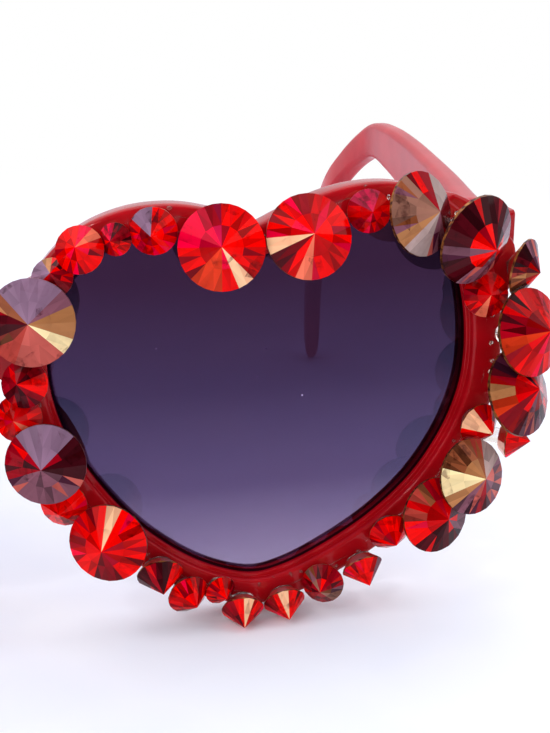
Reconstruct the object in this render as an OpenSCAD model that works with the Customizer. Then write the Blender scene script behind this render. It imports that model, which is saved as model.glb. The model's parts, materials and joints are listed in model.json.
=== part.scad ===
// Heart shaped sunglasses with a row of crystals glued round the rims.
// X runs to the wearer's left, Y runs back along the arms and Z runs up.
// The glasses stand open on a table at Z = 0, and X = 0 is the middle of the nose bridge.
// Both halves are mirror images. Lengths are in millimetres and angles in degrees.

/* [Front] */
// Width of a lens opening
heart_width = 62.4; // [58:0.2:66]
// Height of a lens opening
heart_height = 54.4; // [51:0.2:58]
// Space between the two lens openings
nose_gap = 15.2; // [14.4:0.2:18]
// Width of the rim, seen from the front
rim_width = 4; // [3.8:0.1:4.4]
// Thickness of the rim from front to back
rim_depth = 5; // [4.8:0.1:5.6]
// Radius of the front's curve round the face
wrap_radius = 220; // [200:5:260]
// Backward lean of the front
front_lean = 4; // [2:0.5:6]

/* [Lenses] */
// Thickness of a lens
lens_thickness = 1.8; // [1.4:0.1:2]
// Distance from the rim's face back to the lens
lens_recess = 1.9; // [1.7:0.1:2.1]

/* [Arms] */
// Height of an arm at its hinge
arm_height = 12; // [11:0.5:13]
// Thickness of an arm at its hinge
arm_thickness = 4; // [3.8:0.1:4.6]
// Reach of an arm behind its hinge
arm_reach = 97; // [90:1:105]
// Distance that an arm's tip curves inwards
arm_inset = 17.6; // [12:0.2:18]

/* [Hinges] */
// Distance of a hinge axis inwards from a lens opening's outer edge
hinge_inset = 2.3; // [1.8:0.1:2.5]
// Distance of the hinge axes behind the front's face beside them
hinge_setback = 12.54; // [12.2:0.02:13.6]
// Distance of the hinges' middle below the top of the lens openings
hinge_drop = 8.5; // [7.4:0.1:10.4]
// Radius of the hinge barrels
barrel_radius = 1.3; // [1.2:0.05:1.35]
// Length of one barrel
barrel_length = 2; // [1.8:0.1:2.2]
// Radius of the hinge screws
screw_radius = 0.65; // [0.6:0.01:0.7]

/* [Crystals] */
// Diameter of the crystal at each outer upper corner, as a share of the room for crystals
corner_share = 0.2147; // [0.21:0.0001:0.2147]
// Diameter of the crystals down the outer side, as a share of that room
side_share = 0.21; // [0.202:0.001:0.21]
// Diameter of the other large crystals in the upper half, as a share of that room
large_share = 0.1923; // [0.184:0.0001:0.1923]
// Diameter of the large crystals in the lower half, as a share of that room
lower_share = 0.1815; // [0.174:0.0005:0.1815]
// Diameter of the crystal behind the outer corner, as a share of that room
medium_share = 0.141; // [0.134:0.001:0.141]
// Diameter of the broader small crystals, as a share of that room
broad_share = 0.1074; // [0.1:0.0001:0.1074]
// Diameter of most small crystals, as a share of that room
small_share = 0.0994; // [0.094:0.0001:0.0994]
// Diameter of the crystal beside the bridge crystal, as a share of that room
lesser_share = 0.0913; // [0.086:0.0001:0.0913]
// Diameter of the crystals that fill the narrow places, as a share of that room
tiny_share = 0.0737; // [0.068:0.0001:0.0737]

/* [Hidden] */

// How far a cutting shape runs past the face that it cuts.
overrun = 1;
// Side counts: large round faces, small round faces, and the corners of swept sections.
wide_facets = 256;
round_facets = 48;
corner_steps = 2;

// The two hearts. Each pair is a share of the opening's width and of its height.
// The row starts at the upper notch and runs over the outer lobe to the bottom tip and back.
heart_shares = [
    [0.495, 0.905],
    [0.565, 0.938],
    [0.640, 0.976],
    [0.720, 0.998],
    [0.800, 0.998],
    [0.877, 0.969],
    [0.941, 0.903],
    [0.981, 0.800],
    [1.000, 0.675],
    [0.998, 0.546],
    [0.974, 0.440],
    [0.930, 0.340],
    [0.861, 0.237],
    [0.760, 0.140],
    [0.640, 0.061],
    [0.543, 0.015],
    [0.468, 0.002],
    [0.380, 0.028],
    [0.295, 0.079],
    [0.208, 0.156],
    [0.131, 0.252],
    [0.070, 0.355],
    [0.022, 0.469],
    [0.000, 0.592],
    [0.005, 0.711],
    [0.043, 0.825],
    [0.112, 0.908],
    [0.199, 0.952],
    [0.288, 0.963],
    [0.367, 0.949],
    [0.436, 0.921]
];
opening_points = [
    for (p = heart_shares)
        [nose_gap / 2 + p[0] * heart_width, p[1] * heart_height]
];
opening_count = len(opening_points);
// Steps between two neighbouring points: on the rim's outlines, and on the measured path.
outline_steps = 2;
path_steps = 8;

// Rim section.
edge_step = 0.06 * rim_depth;
lip_depth = 0.24 * rim_depth;
inner_step = 0.15 * rim_width;
groove_depth = 0.28 * rim_width;
lens_fit = 0.05;

// The room for crystals is the opening's width, or less where the opening is low and wide.
height_share = 1.147;
crystal_room = min(heart_width, height_share * heart_height);
corner_crystal = corner_share * crystal_room;
side_crystal = side_share * crystal_room;
large_crystal = large_share * crystal_room;
lower_crystal = lower_share * crystal_room;
medium_crystal = medium_share * crystal_room;
broad_crystal = broad_share * crystal_room;
small_crystal = small_share * crystal_room;
lesser_crystal = lesser_share * crystal_room;
tiny_crystal = tiny_share * crystal_room;

// Fits between the small metal parts.
pin_fit = 0.04;
leaf_fit = 0.05;
barrel_gap = 0.06;
joint_gap = 0.1;
head_fit = 0.02;

// Seats of the crystals.
glue_gap = 0.25;
glue_fit = 0.06;
// Height of the crystal seats' middle line behind the rim's face.
seat_depth = 0.44 * rim_depth;

// Shape of a pointed crystal, in shares of its radius.
point_share = 0.58;
girdle_share = 0.08;
large_sides = 16;
// Shape of a small crystal: a tall point outwards and a flat glued side.
tall_point_share = 1;
bevel_share = 0.42;
table_share = 0.6;
small_sides = 12;

// Hinges, in their own axes: x outwards from the axis, y backwards and z up.
hinge_offset = barrel_radius + 0.05 * arm_thickness;
leaf_thickness = 0.7 * barrel_radius;
leaf_sink = leaf_thickness / 2;
leaf_height = 3 * barrel_length + 2 * barrel_gap;
arm_leaf_length = 6 * barrel_length;
front_leaf_length = 3.2 * barrel_length;
anchor_depth = 0.4 * arm_thickness;
anchor_start = 1.2 * barrel_length;
anchor_end_space = 0.6 * barrel_length;
screw_head_radius = 0.88 * barrel_radius;
screw_head_height = 0.46 * barrel_radius;
screw_slot_width = 0.2 * barrel_radius;
screw_slot_depth = 0.5 * screw_head_height;

// Distance that the front stands ahead of the middle of the whole part.
front_advance = 0.612 * arm_reach;

// Basic functions.
function unit(v) = v / norm(v);
function tan_of(a, b) = norm(cross(a, b)) / (a * b);
function blend_points(a, b, c, d, t) =
    0.5 * (2 * b + (c - a) * t + (2 * a - 5 * b + 4 * c - d) * t * t
    + (3 * b - a - 3 * c + d) * t * t * t);
function blend_slope(a, b, c, d, t) =
    0.5 * (c - a + 2 * (2 * a - 5 * b + 4 * c - d) * t + 3 * (3 * b - a - 3 * c + d) * t * t);
// Smooth closed curve through a list of points, with its outward normals.
function loop_point(p, i, t) =
    let (n = len(p))
    blend_points(p[(i + n - 1) % n], p[i], p[(i + 1) % n], p[(i + 2) % n], t);
function loop_normal(p, i, t) =
    let (
        n = len(p),
        s = blend_slope(p[(i + n - 1) % n], p[i], p[(i + 1) % n], p[(i + 2) % n], t)
    )
    unit([-s[1], s[0]]);
// Smooth open curve through a list of points.
function line_points(p, steps) =
    let (n = len(p) - 1)
    [
        for (i = [0:n - 1])
            for (k = [0:steps - 1])
                blend_points(p[max(i - 1, 0)], p[i], p[i + 1], p[min(i + 2, n)], k / steps),
        p[n]
    ];
function arc_points(centre, radius, from, to, steps) = [
    for (k = [0:steps])
        let (a = from + (to - from) * k / steps)
        centre + radius * [cos(a), sin(a)]
];

// Puts a point of the flat drawing on the curved front, at a depth behind its face.
function on_front(p, depth) =
    let (turn = asin(p[0] / wrap_radius))
    [
        (wrap_radius - depth) * sin(turn),
        wrap_radius - (wrap_radius - depth) * cos(turn),
        p[1]
    ];

// Opening outline moved outwards by a distance, as a list of flat points.
function heart_outline(grow, steps) = [
    for (i = [0:opening_count - 1])
        for (k = [0:steps - 1])
            loop_point(opening_points, i, k / steps)
            + grow * loop_normal(opening_points, i, k / steps)
];

// The opening's edge as a path, which a share from 0 to 1 measures.
path = heart_outline(0, path_steps);
path_count = len(path);
path_lengths = [
    for (i = 0, run = 0; i <= path_count;
        run = run + norm(path[(i + 1) % path_count] - path[i % path_count]), i = i + 1) run
];
path_total = path_lengths[path_count];
path_x = [for (i = [0:path_count]) [path_lengths[i] / path_total, path[i % path_count][0]]];
path_z = [for (i = [0:path_count]) [path_lengths[i] / path_total, path[i % path_count][1]]];
slope_share = 0.004;
function wrap_share(s) = s - floor(s);
function path_point(s) = [lookup(wrap_share(s), path_x), lookup(wrap_share(s), path_z)];
function path_normal(s) =
    let (d = path_point(s + slope_share) - path_point(s - slope_share))
    unit([-d[1], d[0]]);

// Each crystal: diameter, share of the way round the rim, sideways slide as a share of the
// rim's width, turn towards the outer side, upward tilt, and extra height as a share of its size.
bridge_crystal = [large_crystal, 0.8069, -0.18, 1, 9, 0.13];
inner_lobe_crystal = [large_crystal, 0.972, -0.74, 0, 11, 0];
outer_lobe_crystal = [large_crystal, 0.0299, -0.84, 9, 16, 0];
shoulder_crystal = [large_crystal, 0.1061, -0.82, 39, 11, 0];
corner_gem = [corner_crystal, 0.1458, -0.21, 36, -14, 0.075];
endpiece_crystal = [medium_crystal, 0.1889, 0.757, 54, -10, 0];
side_upper_crystal = [side_crystal, 0.2444, 0.32, 37, 13, 0.14];
side_lower_crystal = [side_crystal, 0.292, 0.37, 41, 19, 0.11];
lower_outer_crystal = [lower_crystal, 0.351, 0.34, 28, 10, 0.16];
lower_middle_crystal = [lower_crystal, 0.3838, 0.42, 27, 6, 0.01];
lower_inner_crystal = [lower_crystal, 0.6308, -0.17, -12, 1, 0.1];
nose_crystal = [lower_crystal, 0.7071, 0.01, -4, 5, 0.14];
top_small_crystals = [
    [lesser_crystal, 0.8342, -0.36, 1, 24, 0],
    [broad_crystal, 0.8664, -0.42, -5, 16, 0.05],
    [tiny_crystal, 0.8977, -0.45, -14, 3, 0.09],
    [broad_crystal, 0.9213, -0.25, -4, -3, 0],
    [small_crystal, 0.0859, -0.52, 3, 6, 0]
];
side_small_crystals = [
    [broad_crystal, 0.2114, 0.07, 2, 10, 0],
    [broad_crystal, 0.3037, -0.13, 28, -12, 0],
    [small_crystal, 0.3156, 0.44, 66, -4, 0.47],
    [small_crystal, 0.4053, -0.33, 14, -19, 0]
];
bottom_small_crystals = [
    [small_crystal, 0.4334, -0.55, 23, -42, 0],
    [small_crystal, 0.4626, 0.43, -12, -2, 0],
    [small_crystal, 0.4992, -0.55, 15, -36, 0],
    [small_crystal, 0.5287, -0.49, 5, -36, 0.02],
    [tiny_crystal, 0.5527, -0.27, 24, -13, 0.08],
    [small_crystal, 0.5752, 0.27, 26, -16, 0],
    [broad_crystal, 0.604, -0.46, 12, -35, 0]
];
nose_small_crystals = [
    [broad_crystal, 0.6761, 0.41, -6, -6, 0],
    [broad_crystal, 0.7387, 0.45, -5, 11, 0],
    [broad_crystal, 0.7597, -0.25, -11, 14, 0.16]
];
large_crystals = [
    bridge_crystal,
    inner_lobe_crystal,
    outer_lobe_crystal,
    shoulder_crystal,
    corner_gem,
    endpiece_crystal,
    side_upper_crystal,
    side_lower_crystal,
    lower_outer_crystal,
    lower_middle_crystal,
    lower_inner_crystal,
    nose_crystal
];
small_crystals = [
    each top_small_crystals,
    each side_small_crystals,
    each bottom_small_crystals,
    each nose_small_crystals
];

// Where a crystal points, and the rim's own directions under it.
function aim(c) = [sin(c[3]) * cos(c[4]), -cos(c[3]) * cos(c[4]), sin(c[4])];
function seat_flat(c) = path_point(c[1]) + path_normal(c[1]) * rim_width * (0.5 + c[2]);
function seat_middle(c) = on_front(seat_flat(c), seat_depth);
function face_ahead(c) =
    let (turn = asin(seat_flat(c)[0] / wrap_radius))
    [sin(turn), -cos(turn), 0];
function face_outward(c) =
    let (turn = asin(seat_flat(c)[0] / wrap_radius), n = path_normal(c[1]))
    [n[0] * cos(turn), n[0] * sin(turn), n[1]];
// Distance from the seat's middle to the rim's front face and outer side along the aim.
function reach_to_front(c) =
    let (ahead = aim(c) * face_ahead(c))
    ahead > 0 ? seat_depth / ahead : 2 * wrap_radius;
function reach_to_side(c) =
    let (outward = aim(c) * face_outward(c), side = rim_width * (0.5 - c[2]))
    outward > 0 && side > 0 ? side / outward : 2 * wrap_radius;
// Distance along the aim at which a flat crystal back clears the rim. Rim points under its
// bevel may stand higher than the flat back.
clear_samples = [-8:8];
clear_step_share = 0.12;
section_shares = [0, 0.25, 0.5, 0.75, 1];
function reach_to_clear(c) =
    let (radius = c[0] / 2)
    max([
        for (k = clear_samples)
            let (share = c[1] + k * clear_step_share * c[0] / path_total)
            for (width = section_shares)
                for (depth = section_shares)
                    let (
                        flat = path_point(share) + width * rim_width * path_normal(share),
                        p = on_front(flat, depth * rim_depth) - seat_middle(c),
                        along = p * aim(c),
                        away = norm(p - along * aim(c)) / radius
                    )
                    if (away < 1)
                        along - bevel_share * radius * max(away - table_share, 0) / (1 - table_share)
    ]);
function is_large(c) = c[0] > (small_crystal + medium_crystal) / 2;
function seat_reach(c) = is_large(c) ? min(reach_to_front(c), reach_to_side(c)) : reach_to_clear(c);
// The rim's face that a pointed crystal stands on.
function seat_face(c) = reach_to_front(c) < reach_to_side(c) ? face_ahead(c) : face_outward(c);
function glue_height(c) = glue_gap + c[5] * c[0];
// The point where a crystal's back starts.
function crystal_foot(c) = seat_middle(c) + aim(c) * (seat_reach(c) + glue_height(c));
function crystal_length(c) =
    c[0] / 2 * (girdle_share + (is_large(c) ? 2 * point_share : tall_point_share + bevel_share));
function crystal_tip(c) = crystal_foot(c) + aim(c) * crystal_length(c);

// Corners of a crystal's ring, in the crystal's own axes.
function gem_ring(radius, height, sides) = [
    for (k = [0:sides - 1]) [radius * cos(360 * k / sides), radius * sin(360 * k / sides), height]
];
// A crystal's own axes across its aim.
function gem_across(c) = [cos(c[3]), sin(c[3]), 0];
function gem_upward(c) = [-sin(c[3]) * sin(c[4]), cos(c[3]) * sin(c[4]), cos(c[4])];
// The lowest height of a small crystal: its tip's, or that of a corner of its girdle.
function leaned_height(p) = p[2] * cos(front_lean) - p[1] * sin(front_lean);
function crystal_low(c) =
    let (foot = crystal_foot(c), radius = c[0] / 2)
    min([
        leaned_height(crystal_tip(c)),
        for (share = [bevel_share, bevel_share + girdle_share])
            for (p = gem_ring(radius, share * radius, small_sides))
                leaned_height(foot + p * [gem_across(c), gem_upward(c), aim(c)])
    ]);

// The front leans back and is lifted until its lowest crystal touches the table.
front_lift = -min([for (c = small_crystals) crystal_low(c)]);
module placed_front() {
    translate([0, -front_advance, front_lift])
        rotate([-front_lean, 0, 0])
            children();
}
module sided(side) {
    if (side > 0) {
        children();
    } else {
        mirror([1, 0, 0])
            children();
    }
}

// Solid through a row of rings with equal point counts.
module ring_solid(rings) {
    count = len(rings);
    sides = len(rings[0]);
    walls = [
        for (i = [0:count - 2])
            for (j = [0:sides - 1])
                let (a = i * sides + j, b = i * sides + (j + 1) % sides)
                each [[a, b, b + sides], [a, b + sides, a + sides]]
    ];
    caps = [
        [for (j = [sides - 1:-1:0]) j],
        [for (j = [0:sides - 1]) (count - 1) * sides + j]
    ];
    polyhedron(points = [for (r = rings) each r], faces = concat(walls, caps));
}

// Part of a thin curved wall between two depths behind the front's face.
module front_wall(from, to, low, high) {
    translate([0, wrap_radius, low])
        difference() {
            cylinder(r = wrap_radius - from, h = high - low, $fn = wide_facets);
            translate([0, 0, -overrun])
                cylinder(r = wrap_radius - to, h = high - low + 2 * overrun, $fn = wide_facets);
        }
}
module front_prism(points) {
    translate([0, wrap_radius / 2, 0])
        rotate([90, 0, 0])
            linear_extrude(height = wrap_radius / 2 + overrun)
                polygon(points);
}

// The rim is a ring cut from the front's curved wall. Its front edge is wider than the
// lip that hides the lens groove, and its outer front edge has a small step.
module outline_slab(grow, from, to) {
    intersection() {
        front_prism(heart_outline(grow, outline_steps));
        front_wall(from, to, -2 * rim_width, heart_height + 2 * rim_width);
    }
}
module rim() {
    difference() {
        union() {
            outline_slab(rim_width, edge_step, rim_depth - edge_step);
            outline_slab(rim_width - edge_step, 0, rim_depth);
        }
        front_prism(heart_outline(-inner_step, outline_steps));
        outline_slab(0, -overrun, lip_depth);
        outline_slab(groove_depth - inner_step, lens_recess - lens_fit,
            lens_recess + lens_thickness + lens_fit);
    }
}

// The bridge fills the space between the rims. Pairs are shares of the nose gap and heart height.
bridge_inset = 0.1 * rim_depth;
bridge_top_shares = [[0, 0.812], [0.17, 0.818], [0.36, 0.842], [0.61, 0.880]];
bridge_side_shares = [[0.48, 0.812], [0.40, 0.750], [0.365, 0.675], [0.36, 0.600], [0.38, 0.520]];
bridge_arch_shares = [[0.32, 0.500], [0.21, 0.560], [0.12, 0.588], [0, 0.600]];
bridge_steps = 3;
function bridge_points(shares) = [for (s = shares) [s[0] * nose_gap, s[1] * heart_height]];
bridge_half = concat(
    line_points(bridge_points(bridge_top_shares), bridge_steps),
    bridge_points(bridge_side_shares),
    line_points(bridge_points(bridge_arch_shares), bridge_steps)
);
module bridge() {
    last = len(bridge_half) - 2;
    mirrored = [for (i = [last:-1:1]) [-bridge_half[i][0], bridge_half[i][1]]];
    intersection() {
        front_prism(concat(bridge_half, mirrored));
        front_wall(bridge_inset, rim_depth - bridge_inset, 0, heart_height);
    }
}

// A nose pad is a lobed fin that stands on the rim's back on the nose side.
// Pairs are shares of the pad's length along the rim and of its reach behind the rim.
pad_share = 0.702;
pad_length = 0.27 * heart_width;
pad_reach = 1.4 * rim_depth;
pad_thickness = 0.5 * rim_width;
pad_flare = 14;
pad_steps = 3;
pad_shares = [
    [-0.50, -0.30],
    [-0.49, 0.05],
    [-0.42, 0.50],
    [-0.25, 0.88],
    [0.00, 1.00],
    [0.25, 0.88],
    [0.42, 0.50],
    [0.49, 0.05],
    [0.50, -0.30]
];
module nose_pad() {
    p = path_point(pad_share) + path_normal(pad_share) * rim_width / 2;
    n = path_normal(pad_share);
    turn = asin(p[0] / wrap_radius);
    translate(on_front(p, rim_depth))
        rotate([0, 0, turn])
            rotate([0, -atan2(n[1], n[0]), 0])
                rotate([0, 0, pad_flare])
                    rotate([90, 0, 90])
                        linear_extrude(height = pad_thickness, center = true)
                            polygon([
                                for (q = line_points(pad_shares, pad_steps))
                                    [q[1] * pad_reach, q[0] * pad_length]
                            ]);
}

// The endpiece widens the rim at its outer upper corner.
// Pairs are shares of the opening's width and height.
endpiece_shares = [
    [0.912, 0.997],
    [0.940, 1.038],
    [0.986, 1.014],
    [1.056, 0.962],
    [1.105, 0.888],
    [1.114, 0.830],
    [1.098, 0.766],
    [1.060, 0.700],
    [1.030, 0.708],
    [1.012, 0.800],
    [0.975, 0.905]
];
endpiece_inset = 0.06 * rim_depth;
module endpiece() {
    intersection() {
        front_prism([
            for (s = endpiece_shares) [nose_gap / 2 + s[0] * heart_width, s[1] * heart_height]
        ]);
        front_wall(endpiece_inset, rim_depth - endpiece_inset, 0, 2 * heart_height);
    }
}

// Hinge axes stand upright, whatever the front's lean, at a distance behind its curved face.
hinge_x = nose_gap / 2 + heart_width - hinge_inset;
hinge_face = on_front([hinge_x, heart_height - hinge_drop], 0);
hinge_face_y = hinge_face[1] * cos(front_lean) + hinge_face[2] * sin(front_lean);
hinge_y = hinge_face_y + hinge_setback - front_advance;
hinge_z = front_lift + heart_height - hinge_drop;
module at_hinge() {
    translate([hinge_x, hinge_y, hinge_z])
        children();
}

// The block behind the endpiece carries the front leaf and stops the arm.
// Pairs are shares of the arm's thickness outwards from the block's inner face and forwards.
block_shares = [
    [0, 0],
    [1, 0],
    [1.66, 1.3],
    [1.80, 1.9],
    [0.62, 2.42],
    [0.46, 1.86],
    [0, 1.86]
];
module hinge_block() {
    at_hinge()
        difference() {
            translate([0, 0, -arm_height / 2])
                linear_extrude(height = arm_height)
                    polygon([
                        for (s = block_shares)
                            [hinge_offset + s[0] * arm_thickness, -s[1] * arm_thickness]
                    ]);
            mirror([0, 1, 0])
                leaf_pocket(front_leaf_length);
        }
}

// Room for a hinge leaf and its anchor in the face that it is sunk into.
module leaf_pocket(length) {
    translate([hinge_offset - overrun, -overrun, -leaf_height / 2 - leaf_fit])
        cube([overrun + leaf_sink + leaf_fit, overrun + length + leaf_fit,
            leaf_height + 2 * leaf_fit]);
    translate([hinge_offset, anchor_start - leaf_fit, -barrel_length / 2 - leaf_fit])
        cube([leaf_sink + anchor_depth + leaf_fit,
            length - anchor_start - anchor_end_space + 2 * leaf_fit,
            barrel_length + 2 * leaf_fit]);
}
module leaf_plate(length) {
    translate([hinge_offset - leaf_sink, barrel_radius, -leaf_height / 2])
        cube([leaf_thickness, length - barrel_radius, leaf_height]);
    translate([hinge_offset, anchor_start, -barrel_length / 2])
        cube([leaf_sink + anchor_depth, length - anchor_start - anchor_end_space, barrel_length]);
}
// One barrel with the web that joins it to its plate.
module barrel(low) {
    translate([0, 0, low]) {
        cylinder(r = barrel_radius, h = barrel_length, $fn = round_facets);
        cube([hinge_offset + leaf_sink, barrel_radius + leaf_sink, barrel_length]);
    }
}
module arm_leaf() {
    difference() {
        union() {
            barrel(-barrel_length / 2);
            leaf_plate(arm_leaf_length);
        }
        translate([0, 0, -leaf_height])
            cylinder(r = screw_radius + pin_fit, h = 2 * leaf_height, $fn = round_facets);
    }
}
module front_leaf() {
    difference() {
        mirror([0, 1, 0])
            union() {
                barrel(barrel_length / 2 + barrel_gap);
                barrel(-barrel_length * 3 / 2 - barrel_gap);
                leaf_plate(front_leaf_length);
            }
        translate([0, 0, -leaf_height])
            cylinder(r = screw_radius + pin_fit, h = 2 * leaf_height, $fn = round_facets);
    }
}
module hinge_screw() {
    top = leaf_height / 2 + head_fit;
    difference() {
        union() {
            translate([0, 0, -leaf_height / 2])
                cylinder(r = screw_radius, h = leaf_height + head_fit, $fn = round_facets);
            translate([0, 0, top])
                cylinder(r = screw_head_radius, h = screw_head_height, $fn = round_facets);
        }
        translate([
            -screw_head_radius - overrun,
            -screw_slot_width / 2,
            top + screw_head_height - screw_slot_depth
        ])
            cube([2 * (screw_head_radius + overrun), screw_slot_width, overrun]);
    }
}

// The arm's middle line. Shares: of the reach backwards, of the inset inwards, of the hinge
// height above the table, of the height and of the thickness.
arm_shares = [
    [0, 0, 1, 1, 1],
    [0.10, 0, 0.998, 0.98, 1],
    [0.22, 0.01, 1.002, 0.95, 0.98],
    [0.37, 0.06, 1.013, 0.90, 0.95],
    [0.52, 0.14, 1.032, 0.82, 0.92],
    [0.64, 0.24, 1.050, 0.71, 0.90],
    [0.74, 0.35, 1.052, 0.58, 0.87],
    [0.80, 0.48, 1.002, 0.53, 0.85],
    [0.85, 0.64, 0.918, 0.53, 0.85],
    [0.89, 0.81, 0.805, 0.55, 0.85],
    [0.925, 0.93, 0.620, 0.57, 0.85],
    [0.96, 0.99, 0.380, 0.57, 0.85],
    [0.988, 1, 0.140, 0.54, 0.82],
    [0.996, 1, 0.050, 0.44, 0.68],
    [1, 1, 0.008, 0.20, 0.35]
];
arm_steps = 3;
arm_corner_share = 0.32;
arm_line = line_points([
    for (s = arm_shares) [
        hinge_offset + arm_thickness / 2 - s[1] * arm_inset,
        joint_gap + s[0] * arm_reach,
        (s[2] - 1) * hinge_z,
        s[3] * arm_height,
        s[4] * arm_thickness
    ]
], arm_steps);
function arm_way(i) =
    let (
        a = arm_line[max(i - 1, 0)],
        b = arm_line[min(i + 1, len(arm_line) - 1)]
    )
    i == 0 ? [0, 1, 0] : unit([b[0] - a[0], b[1] - a[1], b[2] - a[2]]);
function arm_ring(i) =
    let (
        s = arm_line[i],
        way = arm_way(i),
        across = unit([1, 0, 0] - way[0] * way),
        up = cross(across, way),
        half_wide = s[4] / 2,
        half_tall = s[3] / 2,
        corner = arm_corner_share * s[4],
        outline = concat(
            arc_points([half_wide - corner, half_tall - corner], corner, 0, 90, corner_steps),
            arc_points([corner - half_wide, half_tall - corner], corner, 90, 180, corner_steps),
            arc_points([corner - half_wide, corner - half_tall], corner, 180, 270, corner_steps),
            arc_points([half_wide - corner, corner - half_tall], corner, 270, 360, corner_steps)
        )
    )
    [for (q = outline) [s[0], s[1], s[2]] + q[0] * across + q[1] * up];
module arm() {
    difference() {
        ring_solid([for (i = [0:len(arm_line) - 1]) arm_ring(i)]);
        leaf_pocket(arm_leaf_length);
    }
}

// Crystals stand on their foot with the point along Z, then turn to their aim.
module aimed(c) {
    translate(crystal_foot(c))
        rotate([90 - c[4], 0, c[3]])
            children();
}
// A point at both ends, flat facets between, and a thin girdle.
module pointed_gem(diameter) {
    r = diameter / 2;
    n = large_sides;
    low = point_share * r;
    high = low + girdle_share * r;
    polyhedron(
        points = concat(
            [[0, 0, 0], [0, 0, high + low]], gem_ring(r, low, n), gem_ring(r, high, n)
        ),
        faces = [
            for (k = [0:n - 1])
                let (a = 2 + k, b = 2 + (k + 1) % n)
                each [[0, a, b], [b, a, a + n], [b, a + n, b + n], [1, b + n, a + n]]
        ]
    );
}
// A tall point, a girdle, and a bevel down to the flat side that is glued.
module flat_gem(diameter) {
    r = diameter / 2;
    n = small_sides;
    low = bevel_share * r;
    high = low + girdle_share * r;
    polyhedron(
        points = concat(
            [[0, 0, high + tall_point_share * r]],
            gem_ring(table_share * r, 0, n),
            gem_ring(r, low, n),
            gem_ring(r, high, n)
        ),
        faces = concat(
            [[for (k = [0:n - 1]) 1 + k]],
            [
                for (k = [0:n - 1])
                    let (a = 1 + k, b = 1 + (k + 1) % n)
                    each [
                        [b, a, a + n], [b, a + n, b + n],
                        [b + n, a + n, a + 2 * n], [b + n, a + 2 * n, b + 2 * n],
                        [0, b + 2 * n, a + 2 * n]
                    ]
            ]
        )
    );
}
module crystal(c) {
    aimed(c)
        if (is_large(c)) {
            pointed_gem(c[0]);
        } else {
            flat_gem(c[0]);
        }
}

// Glue under a pointed crystal fills the wedge between the rim and the crystal's back.
// A taller column of glue is slimmer.
glue_share = 0.34;
module pointed_glue(c) {
    tilt = tan_of(aim(c), seat_face(c));
    gap = glue_height(c);
    width = glue_share * c[0] / 2 / (1 + 5 * c[5]);
    rise = min(width * tilt, width * point_share + gap / 2);
    aimed(c)
        rotate_extrude($fn = round_facets)
            polygon([
                [0, glue_fit - gap],
                [width, glue_fit - gap + rise],
                [width, width * point_share - glue_fit],
                [0, -glue_fit]
            ]);
}
// Glue under a flat crystal: a round bed or column.
module flat_glue(c) {
    aimed(c)
        translate([0, 0, glue_fit - glue_height(c)])
            cylinder(
                r = table_share * c[0] / 2 / (1 + c[5]) - glue_fit,
                h = glue_height(c) - 2 * glue_fit,
                $fn = round_facets
            );
}

// The pieces.
module frame_front() {
    color("crimson")
        union() {
            placed_front()
                union() {
                    bridge();
                    for (side = [1, -1])
                        sided(side)
                            union() {
                                rim();
                                nose_pad();
                                endpiece();
                            }
                }
            for (side = [1, -1])
                sided(side)
                    hinge_block();
        }
}
module lens(side) {
    color([0.36, 0.26, 0.45, 0.75])
        sided(side)
            placed_front()
                intersection() {
                    front_prism(heart_outline(groove_depth - inner_step - lens_fit, outline_steps));
                    front_wall(lens_recess, lens_recess + lens_thickness,
                        -rim_width, heart_height + rim_width);
                }
}
module placed_arm(side) {
    color("firebrick")
        sided(side)
            at_hinge()
                arm();
}
module placed_front_leaf(side) {
    color("silver")
        sided(side)
            at_hinge()
                front_leaf();
}
module placed_arm_leaf(side) {
    color("silver")
        sided(side)
            at_hinge()
                arm_leaf();
}
module placed_screw(side) {
    color("gainsboro")
        sided(side)
            at_hinge()
                hinge_screw();
}
module adhesive(side) {
    color([0.9, 0.9, 0.88, 0.6])
        sided(side)
            placed_front() {
                for (c = large_crystals)
                    pointed_glue(c);
                for (c = small_crystals)
                    flat_glue(c);
            }
}
module placed_crystals(row, side) {
    color("red")
        sided(side)
            placed_front()
                for (c = row)
                    crystal(c);
}

frame_front();
lens(1);  // lens_left
lens(-1);  // lens_right
placed_arm(1);  // arm_left
placed_arm(-1);  // arm_right
placed_front_leaf(1);  // hinge_front_leaf_left
placed_front_leaf(-1);  // hinge_front_leaf_right
placed_arm_leaf(1);  // hinge_arm_leaf_left
placed_arm_leaf(-1);  // hinge_arm_leaf_right
placed_screw(1);  // hinge_screw_left
placed_screw(-1);  // hinge_screw_right
adhesive(1);  // adhesive_left
adhesive(-1);  // adhesive_right
placed_crystals([bridge_crystal], 1);  // crystal_left_bridge
placed_crystals([inner_lobe_crystal], 1);  // crystal_left_inner_lobe
placed_crystals([outer_lobe_crystal], 1);  // crystal_left_outer_lobe
placed_crystals([shoulder_crystal], 1);  // crystal_left_shoulder
placed_crystals([corner_gem], 1);  // crystal_left_corner
placed_crystals([endpiece_crystal], 1);  // crystal_left_endpiece
placed_crystals([side_upper_crystal], 1);  // crystal_left_side_upper
placed_crystals([side_lower_crystal], 1);  // crystal_left_side_lower
placed_crystals([lower_outer_crystal], 1);  // crystal_left_lower_outer
placed_crystals([lower_middle_crystal], 1);  // crystal_left_lower_middle
placed_crystals([lower_inner_crystal], 1);  // crystal_left_lower_inner
placed_crystals([nose_crystal], 1);  // crystal_left_nose
placed_crystals(top_small_crystals, 1);  // crystals_left_top_small
placed_crystals(side_small_crystals, 1);  // crystals_left_side_small
placed_crystals(bottom_small_crystals, 1);  // crystals_left_bottom_small
placed_crystals(nose_small_crystals, 1);  // crystals_left_nose_small
placed_crystals([bridge_crystal], -1);  // crystal_right_bridge
placed_crystals([inner_lobe_crystal], -1);  // crystal_right_inner_lobe
placed_crystals([outer_lobe_crystal], -1);  // crystal_right_outer_lobe
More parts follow.
